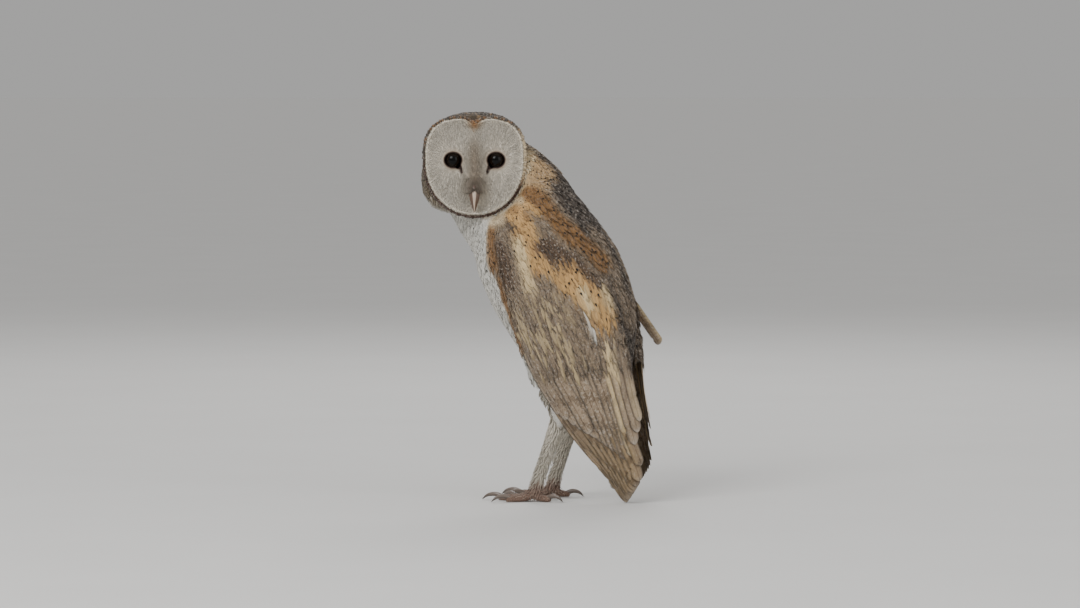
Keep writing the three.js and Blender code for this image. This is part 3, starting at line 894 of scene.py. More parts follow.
def tract_of(points, normals):
    """Which tract of the coat each place belongs to, as a number in TRACTS."""
    s, turn = places(points)
    x, y, z = in_face(points)
    names = owners_of(points)
    left = points[:, 0] > 0
    wing = np.where(left, "wing_l", "wing_r")
    found = np.where(np.abs(turn) > along(WING_TRAIL, s), "mantle", wing)
    found = np.where((found == "mantle") & (s > MANTLE_END), "rump", found)
    front = np.abs(turn) < along(WING_LEAD, s) - 1
    found = np.where(front, np.where(s > BREAST_END, "belly", "breast"), found)
    found = np.where(s < NECK_END, "neck", found)
    found = np.where(from_skull(points) < HEAD_RADIUS, "head", found)
    facing = -normals @ BACKWARD
    share = disc_share(x, z)
    inside = (share < 0.95) | ((share < 1.0) & (facing > 0.45))
    on_disc = (y > FACE_AHEAD) & (y < disc_relief(x, z) + 3) & inside
    found = np.where(on_disc, "disc", found)
    secondaries = np.char.find(names, "secondaries") > 0
    bare = (among(names, QUILLED) > 0) & ~(secondaries & (s < QUILLS_START))
    behind_disc = (share < 0.87) & (y > disc_relief(x, z) + 3) & (y < 17)
    found = np.where(bare | behind_disc, "bare", found)
    found = np.where(among(names, LEGS) > 0, np.where(left, "leg_l", "leg_r"), found)
    found = np.where((among(names, ("toe",)) > 0) & (points[:, 2] < TOES_TOP * MM), "toes", found)
    order = np.argsort(TRACTS)
    return order[np.searchsorted(np.array(TRACTS)[order], found)]


@lru_cache(maxsize=None)
def ground():
    return Ground()


# ---- where feathers root


def scattered(tracts, spacing, seed, keep=None):
    """Roots about a spacing apart over some tracts. The spacing is in metres, or a function of places."""
    gap_at = spacing if callable(spacing) else lambda points: np.full(len(points), spacing)
    g = ground()
    rng = np.random.default_rng(SEED + seed)
    chosen = np.isin(g.tracts, [TRACTS.index(name) for name in tracts])
    if keep is not None:
        chosen &= keep(g.middles)
    index = np.flatnonzero(chosen)
    demand = g.areas[index] / gap_at(g.middles[index]) ** 2
    tries = int(demand.sum() * 5)
    picks = index[rng.choice(len(index), tries, p=demand / demand.sum())]
    u, v = rng.random((2, tries))
    flip = u + v > 1
    u, v = np.where(flip, 1 - u, u), np.where(flip, 1 - v, v)
    a, b, c = (g.points[g.triangles[picks, i]] for i in range(3))
    points = a + (b - a) * u[:, None] + (c - a) * v[:, None]
    return points[apart(points, gap_at(points))]


def apart(points, gaps):
    """Numbers of points that are kept so that no two are nearer than their gap."""
    cell = float(gaps.max())
    cells = {}
    kept = []
    keys = np.floor(points / cell).astype(int)
    offsets = [(i, j, k) for i in (-1, 0, 1) for j in (-1, 0, 1) for k in (-1, 0, 1)]
    for n, (point, key, gap) in enumerate(zip(points.tolist(), keys.tolist(), gaps.tolist())):
        limit = gap * gap
        x, y, z = point
        clear = True
        for i, j, k in offsets:
            for qx, qy, qz in cells.get((key[0] + i, key[1] + j, key[2] + k), ()):
                if (qx - x) ** 2 + (qy - y) ** 2 + (qz - z) ** 2 < limit:
                    clear = False
                    break
            if not clear:
                break
        if clear:
            cells.setdefault(tuple(key), []).append((x, y, z))
            kept.append(n)
    return np.array(kept, int)


# ---- how feathers lie


def tailwards(points):
    s, _ = places(points)
    way = LINE_WAY[(s + ABOVE_NAPE).astype(int)]
    return np.stack([np.zeros(len(points)), way[:, 0], way[:, 1]], 1)


def lie_of_coat(points):
    """Back and down over the head, then down the body."""
    over_head = np.tile(BACKWARD - 0.75 * UP, (len(points), 1))
    share = smooth(from_skull(points), 46, 66)
    return blend(over_head, tailwards(points), share)


def lie_of_disc(points):
    """Out from each eye over the disc, and up and down the ridge between them."""
    x, _, z = in_face(points)
    side = np.where(x > 0, 1.0, -1.0)
    out_x, out_z = x - side * EYE_SIDE, z
    reach = np.maximum(np.hypot(out_x, out_z), 0.1)
    out_x, out_z = out_x / reach, out_z / reach
    on_ridge = np.exp(-((x / 8.0) ** 2))
    ridge_z = np.clip((z + 17) / 5, -1, 1)
    out_x = lerp(out_x, x / 9 + side * (1 - np.abs(ridge_z)), on_ridge)
    out_z = lerp(out_z, ridge_z, on_ridge)
    return np.multiply.outer(out_x, ACROSS) + np.multiply.outer(out_z, UP)


def lie_of_legs(points):
    return np.tile(unit((0.0, -0.33, -0.94)), (len(points), 1))


def lie_of_toes(points):
    """Out from the middle of each foot."""
    feet_x = (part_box("tarsus_l")[0].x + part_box("tarsus_l")[1].x) / 2 + 2 * MM
    middle = np.stack([np.sign(points[:, 0]) * feet_x, np.full(len(points), 1 * MM)], 1)
    out = points[:, :2] - middle
    return np.concatenate([unit(out), np.full((len(points), 1), -0.3)], 1)


# ---- feathers as arrays

STEPS = 5


def marched(roots, lengths, lie, turn_by):
    """Lines from the roots over the ground, by the lie of the coat: places, ways out and ways to the side."""
    g = ground()
    place, out = g.snap(roots)
    line, outs, ways = [place], [out], []
    for _ in range(STEPS):
        way = lie(place)
        way = unit(way - out * (way * out).sum(1)[:, None])
        side = np.cross(out, way)
        way = way * np.cos(turn_by)[:, None] + side * np.sin(turn_by)[:, None]
        ways.append(way)
        place, out = g.snap(place + way * (lengths / STEPS)[:, None])
        line.append(place)
        outs.append(out)
    ways.append(ways[-1])
    line, outs, ways = (np.stack(rows, 1) for rows in (line, outs, ways))
    return line, outs, unit(np.cross(outs, ways))


def sampled(rows, v):
    """Values at a share of the way along lines of STEPS + 1 points."""
    at = min(v * STEPS, STEPS - 1e-6)
    low = int(at)
    return lerp(rows[:, low], rows[:, low + 1], at - low)


# The forms of a feather, each some blades. A blade has its start and end across (in widths), its own width,
# where it ends, and its rings as (share of its length, share of its width).
SLIM_VANE = ((0.0, 0.0, 1.0, 1.0, ((0.25, 0.8), (0.65, 0.9), (0.88, 0.5))),)
FILAMENT = ((0.0, 0.0, 1.0, 1.0, ((0.3, 1.0), (0.75, 0.6))),)
FRINGED = (
    (0.0, 0.0, 0.8, 0.92, ((0.2, 0.75), (0.5, 1.0), (0.8, 0.68))),
    (-0.1, -0.38, 0.27, 0.85, ((0.4, 1.0), (0.75, 0.7))),
    (0.1, 0.38, 0.27, 0.84, ((0.4, 1.0), (0.75, 0.7))),
    (0.0, 0.03, 0.28, 1.0, ((0.5, 1.0), (0.85, 0.65))),
)
SOFT = (
    (0.0, 0.0, 0.8, 0.92, ((0.3, 0.9), (0.75, 0.85))),
    (-0.08, -0.28, 0.34, 0.9, ((0.55, 1.0),)),
    (0.08, 0.28, 0.34, 1.0, ((0.55, 1.0),)),
)


def blade_points(lines, v, offset, half, high, thick):
    """The four points of a ring of a blade: left edge, top, right edge and underside."""
    line, outs, sides = (sampled(rows, v) for rows in lines)
    middle = line + sides * offset[:, None] + outs * (high - 0.35 * np.abs(offset))[:, None]
    fall = outs * (0.3 * half)[:, None]
    return [
        middle - sides * half[:, None] - fall,
        middle + outs * thick[:, None],
        middle + sides * half[:, None] - fall,
        middle - outs * (0.5 * thick)[:, None],
    ]


def blade_faces(rings, columns=4):
    """Quads and triangles of a blade of some rings of points, with a point at each end."""
    quads, triangles = [], []
    last = columns * rings + 1
    for column in range(columns):
        beside = (column + 1) % columns
        triangles.append((0, 1 + beside, 1 + column))
        triangles.append((last, last - columns + column, last - columns + beside))
        for ring in range(rings - 1):
            low = 1 + columns * ring
            quads.append((low + column, low + beside, low + columns + beside, low + columns + column))
    return np.array(quads, int).reshape(-1, 4), np.array(triangles, int)


def unwrapped(roots, tract_name):
    """Each root's place on an unwrap that fills the square: round a limb or the body, and along it."""
    if tract_name == "disc":
        x, _, z = in_face(roots)
        flat = np.stack([np.arctan2(z, x), disc_share(x, z)], 1)
    elif tract_name == "head":
        away = unit(roots - SKULL_MIDDLE)
        pole = np.arccos(np.clip(away @ BACKWARD, -1, 1))
        round_it = np.arctan2(away @ UP, away @ ACROSS)
        flat = np.stack([pole * np.cos(round_it), pole * np.sin(round_it)], 1)
    elif tract_name == "leg":
        axis_x = np.sign(roots[:, 0]) * lerp(23.0, 19.0, smooth(roots[:, 2] / MM, 10, 76)) * MM
        axis_y = np.interp(roots[:, 2] / MM, (10, 76), (3 + SHIFT_Y, 26 + SHIFT_Y)) * MM
        flat = np.stack([np.arctan2(roots[:, 1] - axis_y, roots[:, 0] - axis_x), roots[:, 2] * 60], 1)
    else:
        s, turn = places(roots)
        if tract_name == "back":
            turn = turn % 360
        flat = np.stack([turn, s], 1)
    low, high = flat.min(0), flat.max(0)
    margin = 0.012
    return margin + (flat - low) / np.maximum(high - low, 1e-6) * (1 - 2 * margin)


PATCH = 0.003  # the side of a feather's patch on the unwrap


def coat(
    name, roots, lengths, widths, form, lift, lie, tones, chart, seed,
    jitter=7.0, sink=0.5, thickness=0.045, streaked=0.0, lines=None,
):
    """A joined mesh of feathers on some roots. tones gives colours, speckle and spots for places."""
    rng = np.random.default_rng(SEED * 7 + seed)
    count = len(roots)
    lengths = np.broadcast_to(lengths, count) * rng.uniform(0.86, 1.14, count)
    widths = np.broadcast_to(widths, count) * rng.uniform(0.88, 1.12, count)
    turn_by = np.radians(rng.normal(0, jitter, count))
    if lines is None:
        lines = marched(roots, lengths, lie, turn_by)
    tone, speckle, spots = tones(sampled(lines[0], 0.72))
    tone = np.clip(tone * (1 + rng.normal(0, 0.03, count))[:, None], 0, 1)
    speckle = speckle * rng.uniform(0.7, 1.1, count)
    streaks = streaked * rng.uniform(0.6, 1.0, count) * (rng.random(count) < 0.5)
    spotted = (rng.random(count) < spots).astype(float)
    lifts = np.broadcast_to(lift, count) * rng.uniform(0.82, 1.12, count)
    patch = unwrapped(roots, chart)

    points, quads, triangles, feather_uv = [], [], [], []
    start = 0
    for offset0, offset1, width, end, rings in form:
        high = -sink * MM * np.ones(count)
        columns = [sampled(lines[0], 0) + sampled(lines[1], 0) * high[:, None]]
        uv = [(0.5, 0.0)]
        for v, share in rings:
            offset = lerp(offset0, offset1, v) * widths
            half = 0.5 * width * share * widths
            high = lifts * v * end + (rng.normal(0, 0.04, count) * MM)
            thick = thickness * widths * min(1.0, width + 0.3) * share + 0.03 * MM
            columns += blade_points(lines, v * end, offset, half, high, thick)
            middle_u = 0.5 + lerp(offset0, offset1, v)
            half_u = 0.5 * width * share
            uv += [(middle_u + off, v * end) for off in (-half_u, 0, half_u, 0)]
        outs, sides = sampled(lines[1], end), sampled(lines[2], end)
        offset = offset1 * widths
        high = lifts * end - 0.3 * np.abs(offset)
        columns.append(sampled(lines[0], end) + sides * offset[:, None] + outs * high[:, None])
        uv.append((0.5 + offset1, end))
        points.append(np.stack(columns, 1))
        feather_uv += uv
        ring_quads, ring_triangles = blade_faces(len(rings))
        quads.append(ring_quads + start)
        triangles.append(ring_triangles + start)
        start += len(columns)
    points = np.concatenate(points, 1)
    faces = repeated([np.concatenate(f) for f in (quads, triangles)], count, start)
    feather_uv = np.array(feather_uv)
    patch_uv = patch[:, None] + (feather_uv[None] - 0.5) * PATCH
    maps = {"OFBake": patch_uv.reshape(-1, 2), "feather": np.tile(feather_uv, (count, 1))}
    marks = np.stack([speckle, spotted * np.clip(4.4 * MM / widths, 0, 1), streaks], 1)
    tone, marks = np.repeat(tone, start, 0), np.repeat(marks, start, 0)
    return built(name, points.reshape(-1, 3), faces, maps, tone, marks)


# ---- flight feathers

BLADE_STATIONS = 34
# How far down a flight feather each station is; they crowd towards its round tip.
BLADE_RUN = 1 - (1 - np.linspace(0, 1, BLADE_STATIONS)) ** 1.6
ROUND_FROM = 0.92  # where its round tip begins


def all_along(value):
    """The same vector at each station of a flight feather."""
    return np.tile(value, (BLADE_STATIONS, 1))


# Columns of a flight feather: place across from its front edge (-1) to its back edge (1), and height.
BLADE_ACROSS = (
    (-1, 0.0), (-0.5, 0.35), (0, 1.0), (0.5, 0.35), (1, 0.0), (0.5, -0.35), (0, -0.6), (-0.5, -0.35),
)


def long_blade(path, outs, fronts, half_front, half_back, tilt, girth, thick, splits):
    """Points of a closed flight feather along a path. Sizes are in mm, fronts are ways to its front edge."""
    rows = []
    for i in range(1, BLADE_STATIONS - 1):
        t = BLADE_RUN[i]
        if t > ROUND_FROM:
            swell = math.sqrt(max(0.0, 1 - ((t - ROUND_FROM) / (1 - ROUND_FROM)) ** 2))
        else:
            swell = lerp(0.55, 1.0, min(1.0, t / 0.25))
        row = []
        for across, height in BLADE_ACROSS:
            half = half_front if across < 0 else half_back
            x = across * half * swell
            if (i, 1 if across > 0 else -1) in splits and abs(across) == 1:
                x *= 0.78
            lift = height * thick - tilt * across - x * x / (2 * girth[i])
            row.append(path[i] + (outs[i] * lift - fronts[i] * x) * MM)
        rows.append(row)
    return np.concatenate([[path[0]], np.array(rows).reshape(-1, 3), [path[-1]]])


class Quills:
    """Flight feathers that are gathered into one mesh, each on a strip of its own of the bake map."""

    BAR = 27.0  # mm from bar to bar

    def __init__(self, seed):
        self.rng = np.random.default_rng(SEED * 13 + seed)
        self.blades = []

    def add(self, path, outs, fronts, half_front, half_back, tilt, girth, tones, bars, tip_pale, thick=0.25):
        """One feather. tones gives colours by station for its middle and front edge, and its speckle."""
        count = len(path)
        splits = set()
        for _ in range(self.rng.integers(1, 4)):
            splits.add((int(self.rng.integers(count // 2, count - 4)), int(self.rng.choice((-1, 1)))))
        points = long_blade(path, outs, fronts, half_front, half_back, tilt, girth, thick, splits)
        middle, front_edge, speckle = tones
        length = np.linalg.norm(np.diff(path, axis=0), axis=1).sum() / MM
        colours, marks, uvs = [middle[0]], [(0.2, 0, 0)], [(0.5, 0.0)]
        for i in range(1, count - 1):
            t = BLADE_RUN[i]
            pale = tip_pale * smooth(t, 0.94, 1.0)
            for across, _ in BLADE_ACROSS:
                colours.append(lerp(middle[i], front_edge[i], smooth(-across, 0.3, 0.95)))
                marks.append((speckle, pale, bars))
                uvs.append((0.5 + across / 2, t * length / self.BAR))
        colours.append(middle[-1])
        marks.append((speckle, tip_pale, bars))
        uvs.append((0.5, length / self.BAR))
        self.blades.append((points, np.array(colours), np.array(marks, float), np.array(uvs)))

    def build(self, name):
        each = len(self.blades[0][0])
        one = blade_faces((each - 2) // len(BLADE_ACROSS), len(BLADE_ACROSS))
        turned = [np.roll(f[:, ::-1], 1, axis=1) for f in one]  # its columns run the other way round
        faces = repeated(turned, len(self.blades), each)
        points, colours, marks, uvs = (np.concatenate([b[i] for b in self.blades]) for i in range(4))
        strip = []
        for n, blade in enumerate(self.blades):
            u = (n + 0.08 + 0.84 * blade[3][:, 0]) / len(self.blades)
            v = 0.01 + 0.98 * blade[3][:, 1] / blade[3][:, 1].max()
            strip.append(np.stack([u, v], 1))
        maps = {"OFBake": np.concatenate(strip), "feather": uvs}
        return built(name, points, faces, maps, np.clip(colours, 0, 1), marks)


def outermost(tree, s, turn):
    """The outermost places of a surface at lengths down the body and turns round it."""
    middles, outs = section_way(s, turn)
    reach = np.full(len(s), np.nan)
    for i, (middle, out) in enumerate(zip(middles, outs)):
        hit, _, _, _ = tree.ray_cast(Vector(middle + out * 0.13), Vector(-out), 0.13)
        if hit is not None:
            reach[i] = np.linalg.norm(np.array(hit) - middle)
    known = np.flatnonzero(~np.isnan(reach))
    reach = np.interp(np.arange(len(s)), known, reach[known])
    reach = reach * 0.996 ** (s - s[known[-1]]).clip(0)
    return middles + outs * reach[:, None], outs


def wing_path(side, s, turn, raise_by):
    """Places, ways out and ways to the front edge of a flight feather that lies on the folded wing."""
    hand = "l" if side > 0 else "r"
    wing = tuple(f"wing_{hand}_{part}" for part in ("coverts", "secondaries", "primaries"))
    tree, _ = node_faces((*wing, "mantle", "rump"))
    found, outs = outermost(tree, s, turn * side)
    for _ in range(8):
        found[1:-1] = (found[:-2] + 2 * found[1:-1] + found[2:]) / 4
        outs[1:-1] = unit(outs[:-2] + 2 * outs[1:-1] + outs[2:])
    path = found + outs * (raise_by * MM)[:, None]
    ways = unit(np.gradient(path, axis=0))
    fronts = unit(np.cross(outs, ways))
    _, here = section_way(s, turn * side)
    _, toward = section_way(s, (turn - 20) * side)
    outs = unit(np.cross(ways, fronts))
    outs = outs * np.where((outs * here).sum(1) < 0, -1, 1)[:, None]
    return path, outs, fronts * np.where(((toward - here) * fronts).sum(1) < 0, -1, 1)[:, None]


def done(operator, text):
    operator.report({"INFO"}, text)
    return {"FINISHED"}


# ---- operators


class OWL_OT_skin(bpy.types.Operator):
    """One skin for all the flesh, with the eyes' lids, drawn in by the coat's depth"""

    bl_idname = "owl.skin"
    bl_label = "Skin"

    def execute(self, context):
        obj, leg = shaped(one_shell("skin", FLESH, sizes("voxel")))
        lids = [self.lid(side) for side in (1, -1)]
        bm = bmesh.new()
        bm.from_mesh(obj.data)
        for points, faces in lids:
            verts = [bm.verts.new(p) for p in points]
            for face in faces:
                bm.faces.new([verts[i] for i in face])
        bm.to_mesh(obj.data)
        bm.free()
        alone(obj)
        bpy.ops.object.mode_set(mode="EDIT")
        bpy.ops.mesh.select_all(action="SELECT")
        bpy.ops.uv.smart_project(angle_limit=math.radians(66), island_margin=0.001)
        bpy.ops.object.mode_set(mode="OBJECT")
        obj.data.uv_layers[0].name = "OFBake"
        points = points_of(obj.data)
        leg = np.concatenate([leg, np.zeros(len(points) - len(leg))])
        tone, bare = skin_tones(points, leg)
        tone = self.lid_tones(points, tone)
        tint(obj.data, "tone", linear(tone))
        tint(obj.data, "marks", np.stack([bare, bare * 0, bare * 0], 1))
        obj.data.polygons.foreach_set("use_smooth", np.ones(len(obj.data.polygons), bool))
        finish_piece(obj, skin_material(), "plumage_white", *FLESH)
        return done(self, f"skin of {len(obj.data.polygons)} faces")

    SEGMENTS = 56  # round each eye

    @staticmethod
    def opening(angle, side):
        """The radius of the lids' opening: an oval, drawn down to a point at its inner corner, in mm."""
        oval = 1 / np.hypot(np.cos(angle) / 7.3, np.sin(angle) / 6.5)
        inner = math.radians(232) if side > 0 else math.radians(-52)
        off = np.angle(np.exp(1j * (angle - inner)))
        return oval + 2.6 * np.exp(-((off / 0.26) ** 2))

    def lid(self, side):
        """A raised fold of skin round an eye, turned in against the eyeball."""
        angle = np.linspace(0, math.tau, self.SEGMENTS, endpoint=False)
        open_at = self.opening(angle, side)
        radius = EYE_RADIUS / MM
        against = EYE_SINK / MM - np.sqrt(np.maximum(radius**2 - open_at**2, 5.0))
        eye_x = side * EYE_SIDE
        rings = []
        for spread, height in ((4.2, 0.6), (2.9, -0.15), (1.7, -0.75), (0.8, -0.7)):
            x = eye_x + (open_at + spread) * np.cos(angle)
            z = (open_at + spread) * np.sin(angle)
            y = disc_relief(x, z) + 1.0 + height
            rings.append(from_face(x, y, z))
        for shrink, depth in ((0.0, -0.25), (0.35, 0.6), (0.7, 2.2)):
            x = eye_x + (open_at - shrink) * np.cos(angle)
            z = (open_at - shrink) * np.sin(angle)
            rings.append(from_face(x, against + depth, z))
        points = np.concatenate(rings)
        faces = []
        for ring in range(len(rings) - 1):
            for i in range(self.SEGMENTS):
                j = (i + 1) % self.SEGMENTS
                low = ring * self.SEGMENTS
                faces.append((low + i, low + j, low + self.SEGMENTS + j, low + self.SEGMENTS + i))
        return points, faces

    @classmethod
    def off_edge(cls, x, z):
        """How far places of the face are outside the lids' opening, in mm."""
        angle = np.arctan2(z, np.abs(x) - EYE_SIDE)
        return np.hypot(np.abs(x) - EYE_SIDE, z) - cls.opening(angle, 1)

    def lid_tones(self, points, tone):
        """The skin's colours, dark at the lids' edges."""
        x, y, z = in_face(points)
        margin = smooth(self.off_edge(x, z), 1.9, 0.3) * (y < 20) * (y > -5)
        return blend(tone, paint("tear"), margin)


class OWL_OT_eyes(bpy.types.Operator):
    """Two glossy dark eyes with a swell of cornea"""

    bl_idname = "owl.eyes"
    bl_label = "Eyes"

    def execute(self, context):
        for hand, centre in EYES.items():
            select_none()
            bpy.ops.mesh.primitive_uv_sphere_add(
                segments=56, ring_count=36, radius=EYE_RADIUS,
                location=Vector(centre), rotation=(math.pi / 2, 0, 0),
            )
            obj = bpy.context.active_object
            obj.name = f"eyeball_{hand}"
            bpy.ops.object.transform_apply(location=True, rotation=True, scale=True)
            points = points_of(obj.data)
            toward = unit(points - centre) @ -BACKWARD
            swell = 0.45 * MM * smooth(toward, 0.72, 0.95)
            place_points(obj.data, points - np.multiply.outer(swell, BACKWARD))
            bpy.ops.object.shade_smooth()
            finish_piece(obj, self.material(hand, centre), "eye", f"eye_{hand}")
        return done(self, "two eyes")

    def material(self, hand, centre):
        s = Shader(f"eye {hand}", 0.09, coat_weight=0.04, coat_roughness=0.02, specular_ior_level=0.16)
        middle = s.place(Location=tuple(-centre))
        depth = s.dot(middle, tuple(-BACKWARD))
        length = s.node("VectorMath", {0: middle}, operation="LENGTH").outputs["Value"]
        off_axis = s.math("ARCCOSINE", s.math("DIVIDE", depth, length))
        fibres = s.grain(1600, 4.0)
        iris = s.mix(fibres, (0.003, 0.0016, 0.001), (0.01, 0.005, 0.0026))
        tone = s.mix(s.ramp(off_axis, 0.42, 0.46), (0.001, 0.001, 0.001), iris)
        s.colour(s.mix(s.ramp(off_axis, 0.78, 0.9), tone, (0.002, 0.0015, 0.0015)))
        return s.material


HORN_RINGS = 13


def drawn_horn(name, path, radii, segments):
    """A horn drawn out of a disc ring by ring along a path in the XZ plane, square to it. Sizes in mm."""
    path = np.array(path, float) * MM
    ways = np.gradient(path, axis=0)
    headings = np.unwrap(np.arctan2(-ways[:, 1], ways[:, 0]))
    centres = [Vector((x, 0, z)) for x, z in path]
    turn = (0, math.pi / 2 + headings[0], 0)
    select_none()
    bpy.ops.mesh.primitive_circle_add(
        vertices=segments, radius=radii[0] * MM, fill_type="NGON", location=centres[0], rotation=turn
    )
    obj = bpy.context.active_object
    obj.name = name
    bpy.ops.object.transform_apply(location=True, rotation=True, scale=True)
    bpy.ops.object.mode_set(mode="EDIT")
    bpy.ops.mesh.select_all(action="SELECT")
    for i in range(1, len(path)):
        bpy.ops.mesh.extrude_region_move(TRANSFORM_OT_translate={"value": centres[i] - centres[i - 1]})
        size = radii[i] / radii[i - 1]
        bpy.ops.transform.resize(value=(size, size, size), center_override=centres[i])
        bend_selected(obj, centres[i], headings[i] - headings[i - 1])
    bpy.ops.mesh.select_all(action="SELECT")
    bpy.ops.mesh.normals_make_consistent(inside=False)
    bpy.ops.object.mode_set(mode="OBJECT")
    return obj


def eased(knots, count):
    """Rows of knots run through smoothly, as count rows."""
    knots = np.array(knots, float)
    at = np.linspace(0, len(knots) - 1, count)
    low = np.clip(at.astype(int), 0, len(knots) - 2)
    t = (at - low)[:, None]
    ends = np.concatenate([[2 * knots[0] - knots[1]], knots, [2 * knots[-1] - knots[-2]]])
    a, b, c, d = (ends[low + i] for i in range(4))
    return b + 0.5 * t * (c - a + t * (2 * a - 5 * b + 4 * c - d + t * (3 * (b - c) + d - a)))


def bend_selected(obj, centre, angle):
    """Turns the selected ring about Y through a point."""
    turn = Matrix.Rotation(angle, 3, "Y")
    bm = bmesh.from_edit_mesh(obj.data)
    for v in bm.verts:
        if v.select:
            v.co = centre + turn @ (v.co - centre)
    bmesh.update_edit_mesh(obj.data)


def put(obj, origin, ahead, up):
    """Moves a piece's mesh so that +X points ahead and +Z up from an origin."""
    ahead = unit(ahead)
    side = unit(np.cross(up, ahead))
    over = np.cross(ahead, side)
    points = points_of(obj.data)
    place_points(obj.data, origin + points @ np.stack([ahead, side, over]))


def subdivided(obj, levels):
    modifier = obj.modifiers.new("round", "SUBSURF")
    modifier.levels = levels
    modifier.render_levels = levels
    apply_modifiers(obj)
    bpy.ops.object.shade_smooth()


class OWL_OT_bill(bpy.types.Operator):
    """The hooked bill and its lower half"""

    bl_idname = "owl.bill"
    bl_label = "Bill"

    # mm ahead of the rim's plane, mm above the eye line, radius, and half its width
    UPPER = (
        (-1.0, -21.0, 4.6, 5.6),
        (3.8, -26.5, 4.4, 5.7),
        (6.6, -33.0, 3.7, 4.5),
        (7.3, -40.2, 2.5, 2.7),
        (6.0, -46.8, 0.45, 0.4),
    )
    LOWER = ((-4, -30.7, 3.6, 2.8), (0.4, -35.5, 2.8, 2.0), (2.6, -41.6, 0.8, 0.6))
    SEGMENTS = 20

    def execute(self, context):
        halves = (("bill_top", self.UPPER, "bill_upper"), ("bill_under", self.LOWER, "bill_lower"))
        for name, knots, node in halves:
            rows = eased(knots, HORN_RINGS)
            obj = drawn_horn(name, rows[:, :2], rows[:, 2], self.SEGMENTS)
            points = points_of(obj.data)
            ring = np.minimum(np.arange(len(points)) // self.SEGMENTS, len(rows) - 1)
            middle = rows[ring, :2] * MM
            front = (points[:, 0] - middle[:, 0]) / (rows[ring, 2] * MM)
            points[:, 1] *= rows[ring, 3] / rows[ring, 2] * lerp(1.0, 0.5, smooth(front, 0.1, 0.95))
            place_points(obj.data, points)
            put(obj, FACE, -BACKWARD, UP)
            subdivided(obj, 2)
            finish_piece(obj, self.material(), "horn", node)
        return done(self, "bill")

    @staticmethod
    @lru_cache(maxsize=None)
    def material():
        s = Shader("bill horn", 0.42, coat_weight=0.1, coat_roughness=0.3, specular_ior_level=0.4)
        middle = s.place(Location=tuple(-FACE))
        off = s.math("ABSOLUTE", s.dot(middle, tuple(ACROSS)))
        height = s.dot(middle, (0, 0, 1))
        half = s.times(s.ramp(height, -0.0485, -0.0225), 0.0044)
        spread = s.math("DIVIDE", off, s.math("ADD", half, 0.0005))
        ridge, sides = linear(paint("bill")), linear(paint("bill_side"))
        base = s.mix(s.ramp(spread, 0.32, 0.52), tuple(ridge), tuple(sides))
        base = s.mix(s.ramp(height, -0.03, -0.024), base, tuple(sides * 0.7))
        streaks = s.grain(900, 4.0, (1.0, 1.0, 0.18))
        base = s.mix(s.times(s.ramp(streaks, 0.4, 0.7), 0.3), base, (0.2, 0.14, 0.1))
        s.colour(base)
        s.bump(streaks, 0.0002, 0.3)
        return s.material


class OWL_OT_claws(bpy.types.Operator):
    """Eight curved claws"""

    bl_idname = "owl.claws"
    bl_label = "Claws"

    def execute(self, context):
        for hand in "lr":
            for toe in ("inner", "middle", "outer", "hind"):
                self.claw(hand, toe)
        return done(self, "eight claws")

    def claw(self, hand, toe):
        points = points_of(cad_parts[f"claw_{hand}_{toe}"].data)
        toe_low, toe_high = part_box(f"toe_{hand}_{toe}")
        foot = np.array((np.sign(toe_low.x + toe_high.x) * 23 * MM, (3 + SHIFT_Y) * MM))
        reach = np.linalg.norm(points[:, :2] - foot, axis=1)
        tip = points[reach.argmax()]
        root = points[reach < reach.min() + 1.6 * MM].mean(0)
        ahead = np.append(unit(tip[:2] - root[:2]), 0)
        length = (tip - root) @ ahead / MM
        knots = (
            (-1.5, 3.7, 2.2),
            (length * 0.3, 5.8, 2.15),
            (length * 0.72, 4.6, 1.45),
            (length + 0.3, 0.7, 0.22),
        )
        rows = eased(knots, HORN_RINGS)
        horn = drawn_horn(f"talon_{hand}_{toe}", rows[:, :2], rows[:, 2], 14)
        shape = points_of(horn.data)
        shape[:, 1] *= 0.82
        place_points(horn.data, shape)
        put(horn, np.append(root[:2], 0), ahead, UP)
        subdivided(horn, 1)
        finish_piece(horn, self.material(), "claw", f"claw_{hand}_{toe}")

    @staticmethod
    @lru_cache(maxsize=None)
    def material():
        s = Shader("claw horn", 0.32, coat_weight=0.3, coat_roughness=0.25, specular_ior_level=0.5)
        fade = s.ramp(s.split(s.place())[2], 0.0075, 0.0015)
        base = s.mix(fade, tuple(linear(paint("claw"))), tuple(linear(paint("claw_tip"))))
        streaks = s.grain(1400, 3.0, (0.4, 0.4, 1.0))
        s.colour(s.mix(s.times(streaks, 0.3), base, (0.28, 0.22, 0.18)))
        s.bump(streaks, 0.0002, 0.25)
        return s.material


def tones_of_disc(points):
    x, _, z = in_face(points)
    return disc_tones(x, z), np.full(len(x), 0.06), np.zeros(len(x))


